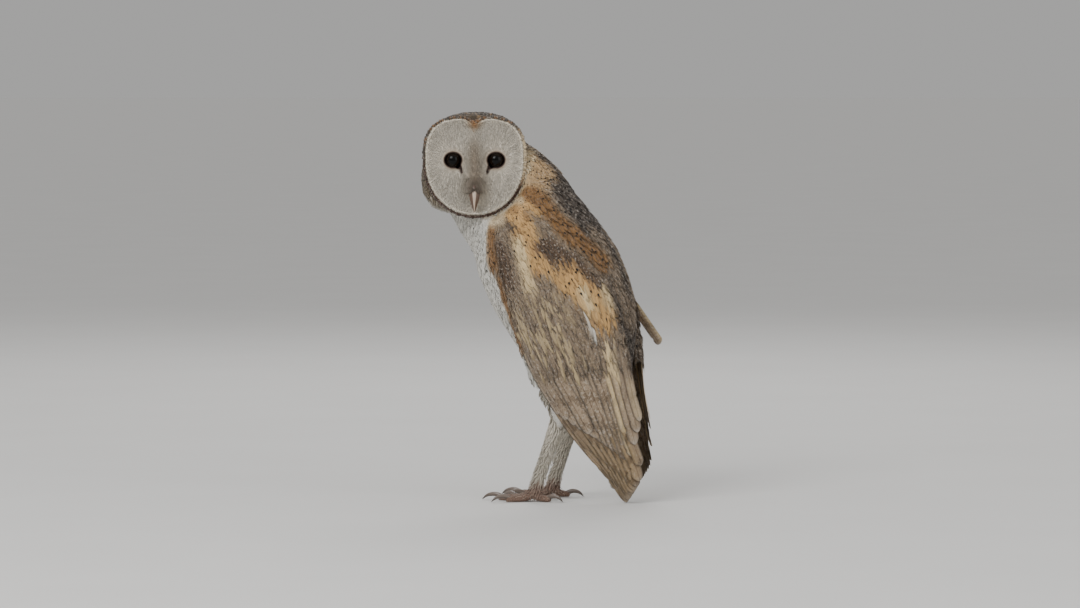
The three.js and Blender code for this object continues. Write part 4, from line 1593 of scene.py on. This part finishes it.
class OWL_OT_face_coat(bpy.types.Operator):
    """Fine filaments of the facial disc and bristles down to the bill"""

    bl_idname = "owl.face_coat"
    bl_label = "Face coat"

    def execute(self, context):
        length, width, spacing = sizes("disc")
        roots = scattered(("disc",), spacing, 1, self.clear_of_eyes)
        x, _, z = in_face(roots)
        near = smooth(np.hypot(np.abs(x) - EYE_SIDE, z), 9, 20)
        ridge = np.exp(-((x / 9) ** 2))
        lengths = length * lerp(0.42, 1.0, near) * lerp(1.0, 0.72, ridge)
        obj = coat(
            "coat_disc", roots, lengths, width * lerp(0.7, 1.0, near), FILAMENT, 0.9 * MM,
            lie_of_disc, tones_of_disc, "disc", 1, jitter=8, sink=0.3, thickness=0.12,
        )
        finish_piece(obj, feather_material("disc plumage", 12.0), "plumage_face")
        return done(self, f"{len(roots)} filaments")

    @staticmethod
    def clear_of_eyes(points):
        x, _, z = in_face(points)
        on_bill = (np.abs(x) < 2.4) & (z < -26) & (z > -42)
        return (OWL_OT_skin.off_edge(x, z) > 1.6) & ~on_bill


class OWL_OT_bristles(bpy.types.Operator):
    """Brown bristles that run from the ridge down over the root of the bill"""

    bl_idname = "owl.bristles"
    bl_label = "Bristles"

    COUNT = 700

    def execute(self, context):
        rng = np.random.default_rng(SEED + 60)
        z = rng.uniform(-25, -9, self.COUNT)
        x = rng.normal(0, 1, self.COUNT).clip(-2, 2) * lerp(1.6, 3.6, smooth(z, -9, -22))
        fall = rng.uniform(3, 8, self.COUNT) + 1.1 * np.abs(x).clip(0, 4)
        fall *= lerp(0.5, 1.0, smooth(z, -26, -18))
        bill = np.array(OWL_OT_bill.UPPER)
        rows = []
        for t in np.linspace(0, 1, STEPS + 1):
            at_x = x * (1 + 0.25 * t)
            at_z = z - fall * t
            ridge = disc_relief(at_x, at_z) + 0.6
            front = np.interp(-at_z, -bill[:, 1], bill[:, 0] + bill[:, 2])
            across = np.interp(-at_z, -bill[:, 1], bill[:, 3])
            over_bill = -front * np.sqrt(np.clip(1 - (at_x / (across + 1.2)) ** 2, 0, 1))
            over_bill = np.where(at_z > bill[0, 1] + 1, 99, over_bill)
            depth = np.minimum(ridge, over_bill) - 0.5 * t
            rows.append(from_face(at_x, depth, at_z))
        lines = np.stack(rows, 1)
        outs = np.tile(unit(-BACKWARD + 0.3 * UP), (self.COUNT, STEPS + 1, 1))
        ways = unit(np.gradient(lines, axis=1))
        sides = unit(np.cross(outs, ways))
        obj = coat(
            "coat_bristles", lines[:, 0], 1.0, 0.8 * MM, FILAMENT, 0.3 * MM, None, self.tones, "disc", 60,
            sink=0.3, thickness=0.12, lines=(lines, outs, sides),
        )
        finish_piece(obj, feather_material("bristle plumage", 8.0), "plumage_face")
        return done(self, "bristles")

    @staticmethod
    def tones(points):
        x, _, z = in_face(points)
        dark = smooth(z, -17, -28) * np.exp(-((x / 4.6) ** 2))
        tone = blend(disc_tones(x, z), paint("ridge") * 0.68, dark)
        return tone, np.zeros(len(points)), np.zeros(len(points))


class OWL_OT_ruff(bpy.types.Operator):
    """Rows of stiff feathers that make the disc's rim"""

    bl_idname = "owl.ruff"
    bl_label = "Rim"

    # Each row: share out to the rim, mm behind its plane, way out, way back, length, colour above and below.
    ROWS = (
        (0.9, 0.9, 1.0, -0.12, 0.5, "rim", "rim"),
        (0.93, 0.3, 1.0, 0.25, 0.45, "rim", "rim"),
        (0.955, 1.0, 0.62, 0.8, 0.55, "rim", "rim"),
        (0.975, 1.7, 0.8, 0.62, 0.6, "crown", "rim_edge"),
        (0.985, 3.6, 0.42, 0.92, 0.8, "crown", "buff"),
        (0.98, 6.4, 0.3, 0.95, 0.95, "crown", "buff"),
    )

    def execute(self, context):
        length, width, spacing = sizes("ruff")
        rng = np.random.default_rng(SEED + 50)
        parts = []
        for share, back, outward, backward, size, above, below in self.ROWS:
            turns = np.linspace(0, math.tau, 4000, endpoint=False)
            x, z = (disc_rim(turns) * f(turns) * share for f in (np.cos, np.sin))
            run = np.concatenate([[0], np.cumsum(np.hypot(np.diff(x), np.diff(z)))])
            count = int(run[-1] * MM / spacing)
            angle = np.interp(np.arange(count) * spacing / MM, run, turns) + rng.normal(0, 0.006, count)
            parts.append((share, back, outward, backward, size, above, below, angle))
        obj = self.rows(parts, length, width, rng)
        finish_piece(obj, feather_material("rim plumage", 18.0), "plumage_face")
        return done(self, "rim")

    def rows(self, parts, length, width, rng):
        points, tones, marks, patch = [], [], [], []
        form = SLIM_VANE[0][4]
        each = 4 * len(form) + 2
        for share, back, outward, backward, size, above, below, angle in parts:
            count = len(angle)
            radius = disc_rim(angle) * share
            x, z = radius * np.cos(angle), radius * np.sin(angle)
            depth = disc_relief(x, z) * (back < 1.5) + back + rng.normal(0, 0.15, count)
            ahead = angle + 0.01
            ahead_x = disc_rim(ahead) * np.cos(ahead) - disc_rim(angle) * np.cos(angle)
            ahead_z = disc_rim(ahead) * np.sin(ahead) - disc_rim(angle) * np.sin(angle)
            run = np.hypot(ahead_x, ahead_z)
            out = np.multiply.outer(ahead_z / run, ACROSS) - np.multiply.outer(ahead_x / run, UP)
            way = unit(out * outward + BACKWARD * backward + rng.normal(0, 0.05, (count, 3)))
            side = unit(np.cross(way, -BACKWARD))
            over = np.cross(side, way)
            over = over * np.sign((over * (out - BACKWARD)).sum(1))[:, None]
            root = from_face(x, depth, z)
            lengths = length * rng.uniform(0.85, 1.1, count) * size
            widths = width * rng.uniform(0.8, 1.1, count)
            rows = [root]
            for v, w in form:
                middle = root + way * (lengths * v)[:, None] - over * (lengths * 0.16 * v * v)[:, None]
                half = (widths * w / 2)[:, None]
                rows += [middle - side * half, middle + over * 0.16 * MM]
                rows += [middle + side * half, middle - over * 0.1 * MM]
            rows.append(root + way * lengths[:, None] - over * (lengths * 0.16)[:, None])
            points.append(np.stack(rows, 1))
            tones.append(self.row_tones(x, z, above, below, rng))
            marks.append(np.tile((0.15 if above == "rim" else 0.7, 0, 0), (count, 1)))
            round_it = (angle / (math.tau)) % 1 * 0.97 + 0.015
            patch.append(np.stack([round_it, np.full(count, back / 9 + 0.1)], 1))
        points, tones, marks, patch = (np.concatenate(rows) for rows in (points, tones, marks, patch))
        count = len(points)
        faces = repeated(blade_faces(len(form)), count, each)
        uv = [(0.5, 0.0)]
        for v, w in form:
            uv += [(0.5 - w / 2, v), (0.5, v), (0.5 + w / 2, v), (0.5, v)]
        uv = np.array(uv + [(0.5, 1.0)])
        patch_uv = (patch[:, None] + (uv[None] - 0.5) * PATCH).reshape(-1, 2)
        maps = {"OFBake": patch_uv, "feather": np.tile(uv, (count, 1))}
        tones, marks = np.repeat(tones, each, 0), np.repeat(marks, each, 0)
        return built("coat_rim", points.reshape(-1, 3), faces, maps, tones, marks)

    @staticmethod
    def row_tones(x, z, above, below, rng):
        """Colours of one row of the rim, golden in the notch over the ridge, and darker on the owl's right
        side: painted shade.
        """
        # Painted shade: on the owl's right side the rows keep their dark upper colour further down and get no
        # cream.
        left_side = smooth(x, 10, 35)
        low = smooth(-z - 16 * left_side, -6, 14)[:, None]
        some = (rng.random(len(x)) < 0.45)[:, None]
        golden = some * 0.6 * (above == "crown") * smooth(z, 0, 20)[:, None]
        tone = lerp(paint(above), paint("cleft"), golden)
        if above == "crown":
            tone = blend(tone, paint("cream"), left_side * smooth(z, 34, 14))
        tone = lerp(tone, paint(below), low)
        notch = np.exp(-((x / 7) ** 2)) * (z > 0)
        tone = blend(tone, paint("cleft"), 0.9 * notch)
        return np.clip(tone * (1 + rng.normal(0, 0.06, len(x)))[:, None], 0, 1)


class OWL_OT_head_coat(bpy.types.Operator):
    """Small close feathers of the crown and the sides of the head, and those of the neck"""

    bl_idname = "owl.head_coat"
    bl_label = "Head and neck coat"

    def execute(self, context):
        length, width, spacing = sizes("crown")
        roots = scattered(("head",), spacing, 2, lambda points: in_face(points)[1] > 4)
        roots = self.clear_of_face(roots, length, 0.97)
        obj = coat(
            "coat_head", roots, length, width, SOFT, 1.2 * MM, lie_of_coat, head_tones, "head", 2, jitter=9
        )
        finish_piece(obj, feather_material("crown plumage"), "plumage_grey")
        length, width, spacing = sizes("neck")
        roots = self.clear_of_face(scattered(("neck",), spacing, 3), length * 0.7, 1.03)
        x, y, z = in_face(roots)
        away = np.maximum(smooth(y, 6, 24), smooth(disc_share(x, z), 1.1, 1.5))
        obj = coat(
            "coat_neck", roots, length * lerp(0.55, 1.0, away), width * lerp(0.7, 1.0, away), FRINGED,
            lerp(0.5, 1.7, away) * MM, lie_of_coat, self.neck, "body", 3, jitter=8,
        )
        finish_piece(obj, feather_material("neck plumage"), "plumage_white")
        return done(self, "head and neck")

    @staticmethod
    def clear_of_face(roots, length, share):
        """The roots whose feathers would not run over the disc."""
        lines = marched(roots, np.full(len(roots), length), lie_of_coat, np.zeros(len(roots)))
        clear = np.ones(len(roots), bool)
        for v in (0, 0.35, 0.7, 1.0):
            x, y, z = in_face(sampled(lines[0], v))
            clear &= (disc_share(x, z) > share) | (y > 10)
        return roots[clear]

    @staticmethod
    def neck(points):
        """The trunk's colours, run into the head's."""
        share = smooth(from_skull(points), 50, 62)
        head, trunk = head_tones(points), trunk_tones(points)
        return tuple(lerp(h, t, share[:, None] if h.ndim > 1 else share) for h, t in zip(head, trunk))


class OWL_OT_breast_coat(bpy.types.Operator):
    """Soft white feathers of the breast and the belly"""

    bl_idname = "owl.breast_coat"
    bl_label = "Breast and belly coat"

    def execute(self, context):
        length, width, spacing = sizes("breast")
        for seed, name in ((4, "breast"), (5, "belly")):
            roots = scattered((name,), spacing, seed)
            obj = coat(
                f"coat_{name}", roots, length, width, FRINGED, 1.7 * MM,
                tailwards, trunk_tones, "body", seed, jitter=8,
            )
            finish_piece(obj, feather_material("white plumage"), "plumage_white")
        return done(self, "breast and belly")


class OWL_OT_mantle_coat(bpy.types.Operator):
    """Dark speckled feathers of the mantle and the rump"""

    bl_idname = "owl.mantle_coat"
    bl_label = "Mantle coat"

    def execute(self, context):
        length, width, spacing = sizes("mantle")
        for seed, name in ((6, "mantle"), (7, "rump")):
            roots = scattered((name,), spacing, seed)
            obj = coat(
                f"coat_{name}", roots, length, width, FRINGED, 2.6 * MM,
                tailwards, trunk_tones, "back", seed, jitter=8,
            )
            finish_piece(obj, feather_material("mantle plumage"), "plumage_grey")
        return done(self, "mantle and rump")


class OWL_OT_wing_coat(bpy.types.Operator):
    """Coverts and scapulars of both wings, small at the wrist and long down the wing"""

    bl_idname = "owl.wing_coat"
    bl_label = "Wing coat"

    # How much longer, wider and further apart the coverts get down the body.
    GROWTH = ((50, 0.85), (80, 1.0), (110, 1.25), (140, 1.75), (170, 2.3), (200, 2.5))

    def execute(self, context):
        length, width, _ = sizes("wing")
        for seed, name in ((8, "wing_l"), (9, "wing_r")):
            roots = scattered((name,), self.gap, seed, self.reached)
            s, turn = places(roots)
            growth = along(self.GROWTH, s)
            from_lead = (np.abs(turn) - along(WING_LEAD, s)) * along(GIRTH, s) * math.pi / 180
            shorter = lerp(0.7, 1.0, smooth(from_lead, 0, 9))
            lift = lerp(0.8, 1.4, smooth(s, 120, 170)) * MM
            obj = coat(
                f"coat_{name}", roots, length * growth * shorter, width * growth**0.55 * shorter, FRINGED,
                lift, tailwards, trunk_tones, "body", seed, jitter=5, streaked=self.streaks(s, np.abs(turn)),
            )
            finish_piece(obj, feather_material("covert plumage"), "plumage_tawny")
        return done(self, "wing coats")

    @staticmethod
    def streaks(s, turn):
        """Coverts low on the wing carry pale streaks."""
        return 0.85 * smooth(s, 108, 136) * smooth(turn, 116, 98)

    def gap(self, points):
        s, _ = places(points)
        return sizes("wing")[2] * along(self.GROWTH, s) ** 0.55

    @staticmethod
    def reached(points):
        """Coverts end on a slant: further down the body towards the back."""
        s, turn = places(points)
        low, high = along(WING_LEAD, s), along(WING_TRAIL, s)
        return s < lerp(168, 200, np.clip((np.abs(turn) - low) / (high - low), 0, 1))


class OWL_OT_flight_feathers(bpy.types.Operator):
    """Primaries, secondaries and tertials of both folded wings"""

    bl_idname = "owl.flight_feathers"
    bl_label = "Flight feathers"

    SECONDARIES = 12
    TERTIALS = 4
    PRIMARIES = 10

    def execute(self, context):
        for side, hand, end in ((1, "l", 1.0), (-1, "r", 0.955)):
            quills = Quills(side)
            self.primaries(quills, side, end)
            obj = quills.build(f"primaries_{hand}")
            finish_piece(obj, quill_material(), "plumage_tawny", f"wing_{hand}_primaries")
            quills = Quills(side + 5)
            self.secondaries(quills, side)
            obj = quills.build(f"secondaries_{hand}")
            finish_piece(obj, quill_material(), "plumage_grey", f"wing_{hand}_secondaries")
        return done(self, "flight feathers")

    def blade(self, quills, side, ends, raises, halves, tilt, colours, bars, pale, sweep=1.15):
        """A flight feather between two (mm down the body, degrees round it) ends."""
        (s0, t0), (s1, t1) = ends
        t = BLADE_RUN
        s = lerp(s0, s1, t)
        turn = lerp(t0, t1, t**sweep)
        raise_by = lerp(raises[0], raises[1], smooth(t, 0.1, 0.5))
        path, outs, fronts = wing_path(side, s, turn, raise_by)
        girth = np.maximum(along(GIRTH, s) * 0.9, 14)
        middle, edge, speckle = colours
        shade = 1 + quills.rng.normal(0, 0.04)
        middle_tones = all_along(paint(middle) * shade)
        edge_tones = all_along(paint(edge) * shade)
        if middle == "secondary":
            patch_tones, _, _ = trunk_tones(path)
            middle_tones = lerp(middle_tones, patch_tones, 0.55)
        quills.add(path, outs, fronts, *halves, tilt, girth, (middle_tones, edge_tones, speckle), bars, pale)

    def primaries(self, quills, side, end):
        count = self.PRIMARIES
        for i in range(count):
            u = i / (count - 1)
            tip_s = lerp(299, 326, u**0.36) * end
            tip_turn = lerp(146, 80, u) if side > 0 else lerp(150, 108, u)
            ends = ((lerp(236, 182, u), lerp(128, 43, u)), (tip_s, tip_turn))
            self.blade(
                quills, side, ends, (-2.2, lerp(0.1, -0.5, u)), (lerp(6.5, 4.4, u), lerp(5.5, 8.5, u)), 0.4,
                ("primary", "quill_edge", 0.45), 0.8, 0.35, sweep=lerp(1.2, 2.6, u),
            )

    def secondaries(self, quills, side):
        count = self.SECONDARIES
        for i in range(count):
            u = i / (count - 1)
            ends = ((158 + 14 * u, lerp(47, 122, u)), (lerp(232, 296, u**0.9), lerp(50, 129, u)))
            self.blade(
                quills, side, ends, (-1.8, 0.3), (5.6, 8.0), 0.3, ("secondary", "covert", 1.0), 0.55, 0.5
            )
        for i in range(self.TERTIALS):
            u = i / (self.TERTIALS - 1)
            ends = ((176, lerp(128, 150, u)), (lerp(290, 262, u), lerp(134, 158, u)))
            self.blade(
                quills, side, ends, (-1.4, 0.5 + 0.2 * i), (6.0, 7.0), 0.3,
                ("pale" if i == 0 else "secondary", "covert", 0.5), 0.3, 0.7,
            )


class OWL_OT_tail(bpy.types.Operator):
    """Twelve tail feathers in a closed fan, and the one that stands out of the right wing"""

    bl_idname = "owl.tail"
    bl_label = "Tail"

    def execute(self, context):
        self.fan()
        self.stray()
        return done(self, "tail")

    @staticmethod
    def fan():
        quills = Quills(21)
        low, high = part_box("tail")
        half = (high.x - low.x) / 2 / MM
        top_y, top_z = 60 + SHIFT_Y, 100.0
        tip_y, tip_z = 76 + SHIFT_Y, low.z / MM
        for i in range(12):
            u = (i - 5.5) / 5.5
            t = BLADE_RUN
            raise_by = 1.6 - 3.6 * abs(u)
            x = lerp(2.0 * u, (half - 7.0) * u, t)
            y = lerp(top_y, tip_y, t) + raise_by
            z = lerp(top_z, tip_z + 3.0 * abs(u) + 0.8, t)
            path = np.stack([x, y, z], 1) * MM
            outs = all_along(unit((0.25 * u, 0.98, 0.18)))
            front = all_along(unit((1.0 if u > 0 else -1.0, -0.25 * u, 0.0)))
            tones = all_along(lerp(paint("secondary"), paint("leg"), 0.35 + 0.5 * abs(u)))
            girth = np.full(len(t), 60.0)
            quills.add(path, outs, front, 6.4, 7.2, 0.25, girth, (tones, tones, 0.35), 0.75, 0.6)
        obj = quills.build("tail_fan")
        finish_piece(obj, quill_material(), "plumage_grey", "tail")

    @staticmethod
    def stray():
        """One feather that stands out of the right wing."""
        quills = Quills(22)
        low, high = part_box("stray_quill_r")
        t = BLADE_RUN
        middle = (np.array(low) + np.array(high)) / 2 / MM
        way = unit((-0.087, 0.571, -0.816))
        start = middle - way * 34
        path = (start + np.multiply.outer(t, way * 56)) * MM
        broad = unit(np.cross(way, (0.0, 0.819, 0.574)))
        flat = unit(np.cross(broad, way))
        lean = math.radians(64)
        front = all_along(broad * math.cos(lean) + flat * math.sin(lean))
        outs = all_along(unit(np.cross(way, front[0])))
        tones = all_along(lerp(paint("covert"), paint("secondary"), 0.5))
        edge = all_along(paint("pale") * 0.9)
        girth = np.full(len(t), 16.0)
        quills.add(path, outs, front, 5.6, 5.6, 0.1, girth, (tones, edge, 0.8), 0.5, 0.7, thick=0.5)
        obj = quills.build("stray_feather")
        finish_piece(obj, quill_material(), "plumage_grey", "stray_quill_r")


class OWL_OT_leg_coat(bpy.types.Operator):
    """Short white feathers of the thighs and shanks, and bristles on the toes"""

    bl_idname = "owl.leg_coat"
    bl_label = "Leg coat"

    def execute(self, context):
        length, width, spacing = sizes("leg")
        for seed, name in ((10, "leg_l"), (11, "leg_r")):
            roots = scattered((name,), spacing, seed)
            height = roots[:, 2] / MM
            size = lerp(0.62, 1.35, smooth(height, 16, 90))
            obj = coat(
                f"coat_{name}", roots, length * size, width * size, SLIM_VANE, 1.8 * MM, lie_of_legs,
                self.tones, "leg", seed, jitter=10, thickness=0.08,
            )
            finish_piece(obj, feather_material("leg plumage"), "plumage_white")
        length, width, spacing = sizes("toe")
        roots = scattered(("toes",), spacing, 12, lambda points: points[:, 2] > 4.0 * MM)
        obj = coat(
            "coat_toes", roots, length, width, FILAMENT, 0.7 * MM, lie_of_toes, self.toe_tones, "leg", 12,
            jitter=14, sink=0.3, thickness=0.16,
        )
        finish_piece(obj, feather_material("toe bristles"), "plumage_white")
        return done(self, "legs")

    @staticmethod
    def tones(points):
        height = points[:, 2] / MM
        tone = blend(paint("toe") * 1.15, paint("leg"), smooth(height, 7, 20))
        return tone, lerp(0.5, 0.12, smooth(height, 14, 60)), np.zeros(len(points))

    @staticmethod
    def toe_tones(points):
        tone = np.tile(lerp(paint("toe"), paint("leg"), 0.55), (len(points), 1))
        return tone, np.full(len(points), 0.1), np.zeros(len(points))


class OWL_OT_stage(bpy.types.Operator):
    """A pale floor, soft lights and the camera"""

    bl_idname = "owl.stage"
    bl_label = "Stage"

    AZIMUTH, ELEVATION = 110.0, 3.0
    DISTANCE = 4.0
    PIXEL = 0.90 * MM  # the width of a pixel of the 1080 x 608 frame at the owl
    FRAME_WIDTH = 1080
    LOOK_AT = Vector((0.0, SHIFT_Y * MM, 0.1762))
    # Each lamp: name, turn from the camera's side, height, distance, size and power.
    LAMPS = (
        ("key", -32, 1.5, 2.0, 1.2, 34),
        ("fill", 48, 0.7, 2.2, 1.6, 12),
        ("back", 178, 1.6, 1.8, 1.0, 16),
    )

    def execute(self, context):
        self.floor()
        context.scene.world = self.studio()
        context.scene.camera = self.camera()
        for lamp in self.LAMPS:
            self.lamp(*lamp)
        return done(self, "stage")

    @staticmethod
    def floor():
        select_none()
        bpy.ops.mesh.primitive_circle_add(vertices=96, radius=60, fill_type="NGON", location=(0, 0, 0))
        floor = bpy.context.active_object
        floor.name = "floor"
        s = Shader("floor paper", 0.9, specular_ior_level=0.2)
        s.colour(s.mix(s.grain(6.0, 2.0), (0.70, 0.69, 0.67), (0.74, 0.73, 0.71)))
        floor.data.materials.append(s.material)

    @staticmethod
    def studio():
        """A world that is pale overhead and a little darker at the horizon."""
        world = bpy.data.worlds.new("studio")
        n = Nodes(world)
        height = n.split(n.node("TexCoord").outputs["Generated"])[2]
        rise = n.node("MapRange", {"Value": height, "From Min": 0.04, "From Max": 0.5}).outputs["Result"]
        background = n.tree.nodes["Background"]
        n.tree.links.new(n.mix(rise, (0.68, 0.675, 0.665), (0.95, 0.95, 0.95)), background.inputs[0])
        background.inputs[1].default_value = 0.62
        return world

    def camera(self):
        data = bpy.data.cameras.new("camera")
        data.sensor_width = 36
        data.lens = 36 * self.DISTANCE / (self.FRAME_WIDTH * self.PIXEL)
        camera = new_object("camera", data)
        a, e = math.radians(self.AZIMUTH), math.radians(self.ELEVATION)
        away = Vector((math.sin(a) * math.cos(e), -math.cos(a) * math.cos(e), math.sin(e)))
        camera.location = self.LOOK_AT + away * self.DISTANCE
        camera.rotation_euler = (-away).to_track_quat("-Z", "Y").to_euler()
        return camera

    def lamp(self, name, turn, height, distance, size, power):
        """A soft square light that faces the owl."""
        data = bpy.data.lights.new(name, "AREA")
        data.energy = power
        data.size = size
        lamp = new_object(name, data)
        a = math.radians(self.AZIMUTH + turn)
        target = Vector((0, 0, 0.2))
        lamp.location = target + Vector((math.sin(a) * distance, -math.cos(a) * distance, height))
        lamp.rotation_euler = (target - lamp.location).to_track_quat("-Z", "Y").to_euler()


STEPS_IN_ORDER = (
    OWL_OT_skin,
    OWL_OT_eyes,
    OWL_OT_bill,
    OWL_OT_claws,
    OWL_OT_face_coat,
    OWL_OT_bristles,
    OWL_OT_ruff,
    OWL_OT_head_coat,
    OWL_OT_breast_coat,
    OWL_OT_mantle_coat,
    OWL_OT_wing_coat,
    OWL_OT_flight_feathers,
    OWL_OT_tail,
    OWL_OT_leg_coat,
    OWL_OT_stage,
)


class OWL_PT_panel(bpy.types.Panel):
    """The owl's steps, sizes and colours"""

    bl_idname = "OWL_PT_panel"
    bl_label = "Barn owl"
    bl_space_type = "VIEW_3D"
    bl_region_type = "UI"
    bl_category = "Owl"

    def draw(self, context):
        for step in STEPS_IN_ORDER:
            self.layout.operator(step.bl_idname)
        for group in (context.scene.owl_sizes, context.scene.owl_colours):
            box = self.layout.box()
            for name in group.__annotations__:
                box.prop(group, name)


CLASSES = (OwlColours, OwlSizes, *STEPS_IN_ORDER, OWL_PT_panel)


def register():
    for cls in CLASSES:
        bpy.utils.register_class(cls)
    bpy.types.Scene.owl_colours = PointerProperty(type=OwlColours)
    bpy.types.Scene.owl_sizes = PointerProperty(type=OwlSizes)


def unregister():
    del bpy.types.Scene.owl_sizes
    del bpy.types.Scene.owl_colours
    for cls in reversed(CLASSES):
        bpy.utils.unregister_class(cls)


def main():
    register()
    for step in STEPS_IN_ORDER:
        group, name = step.bl_idname.split(".")
        getattr(getattr(bpy.ops, group), name)()


if __name__ == "__main__":
    main()
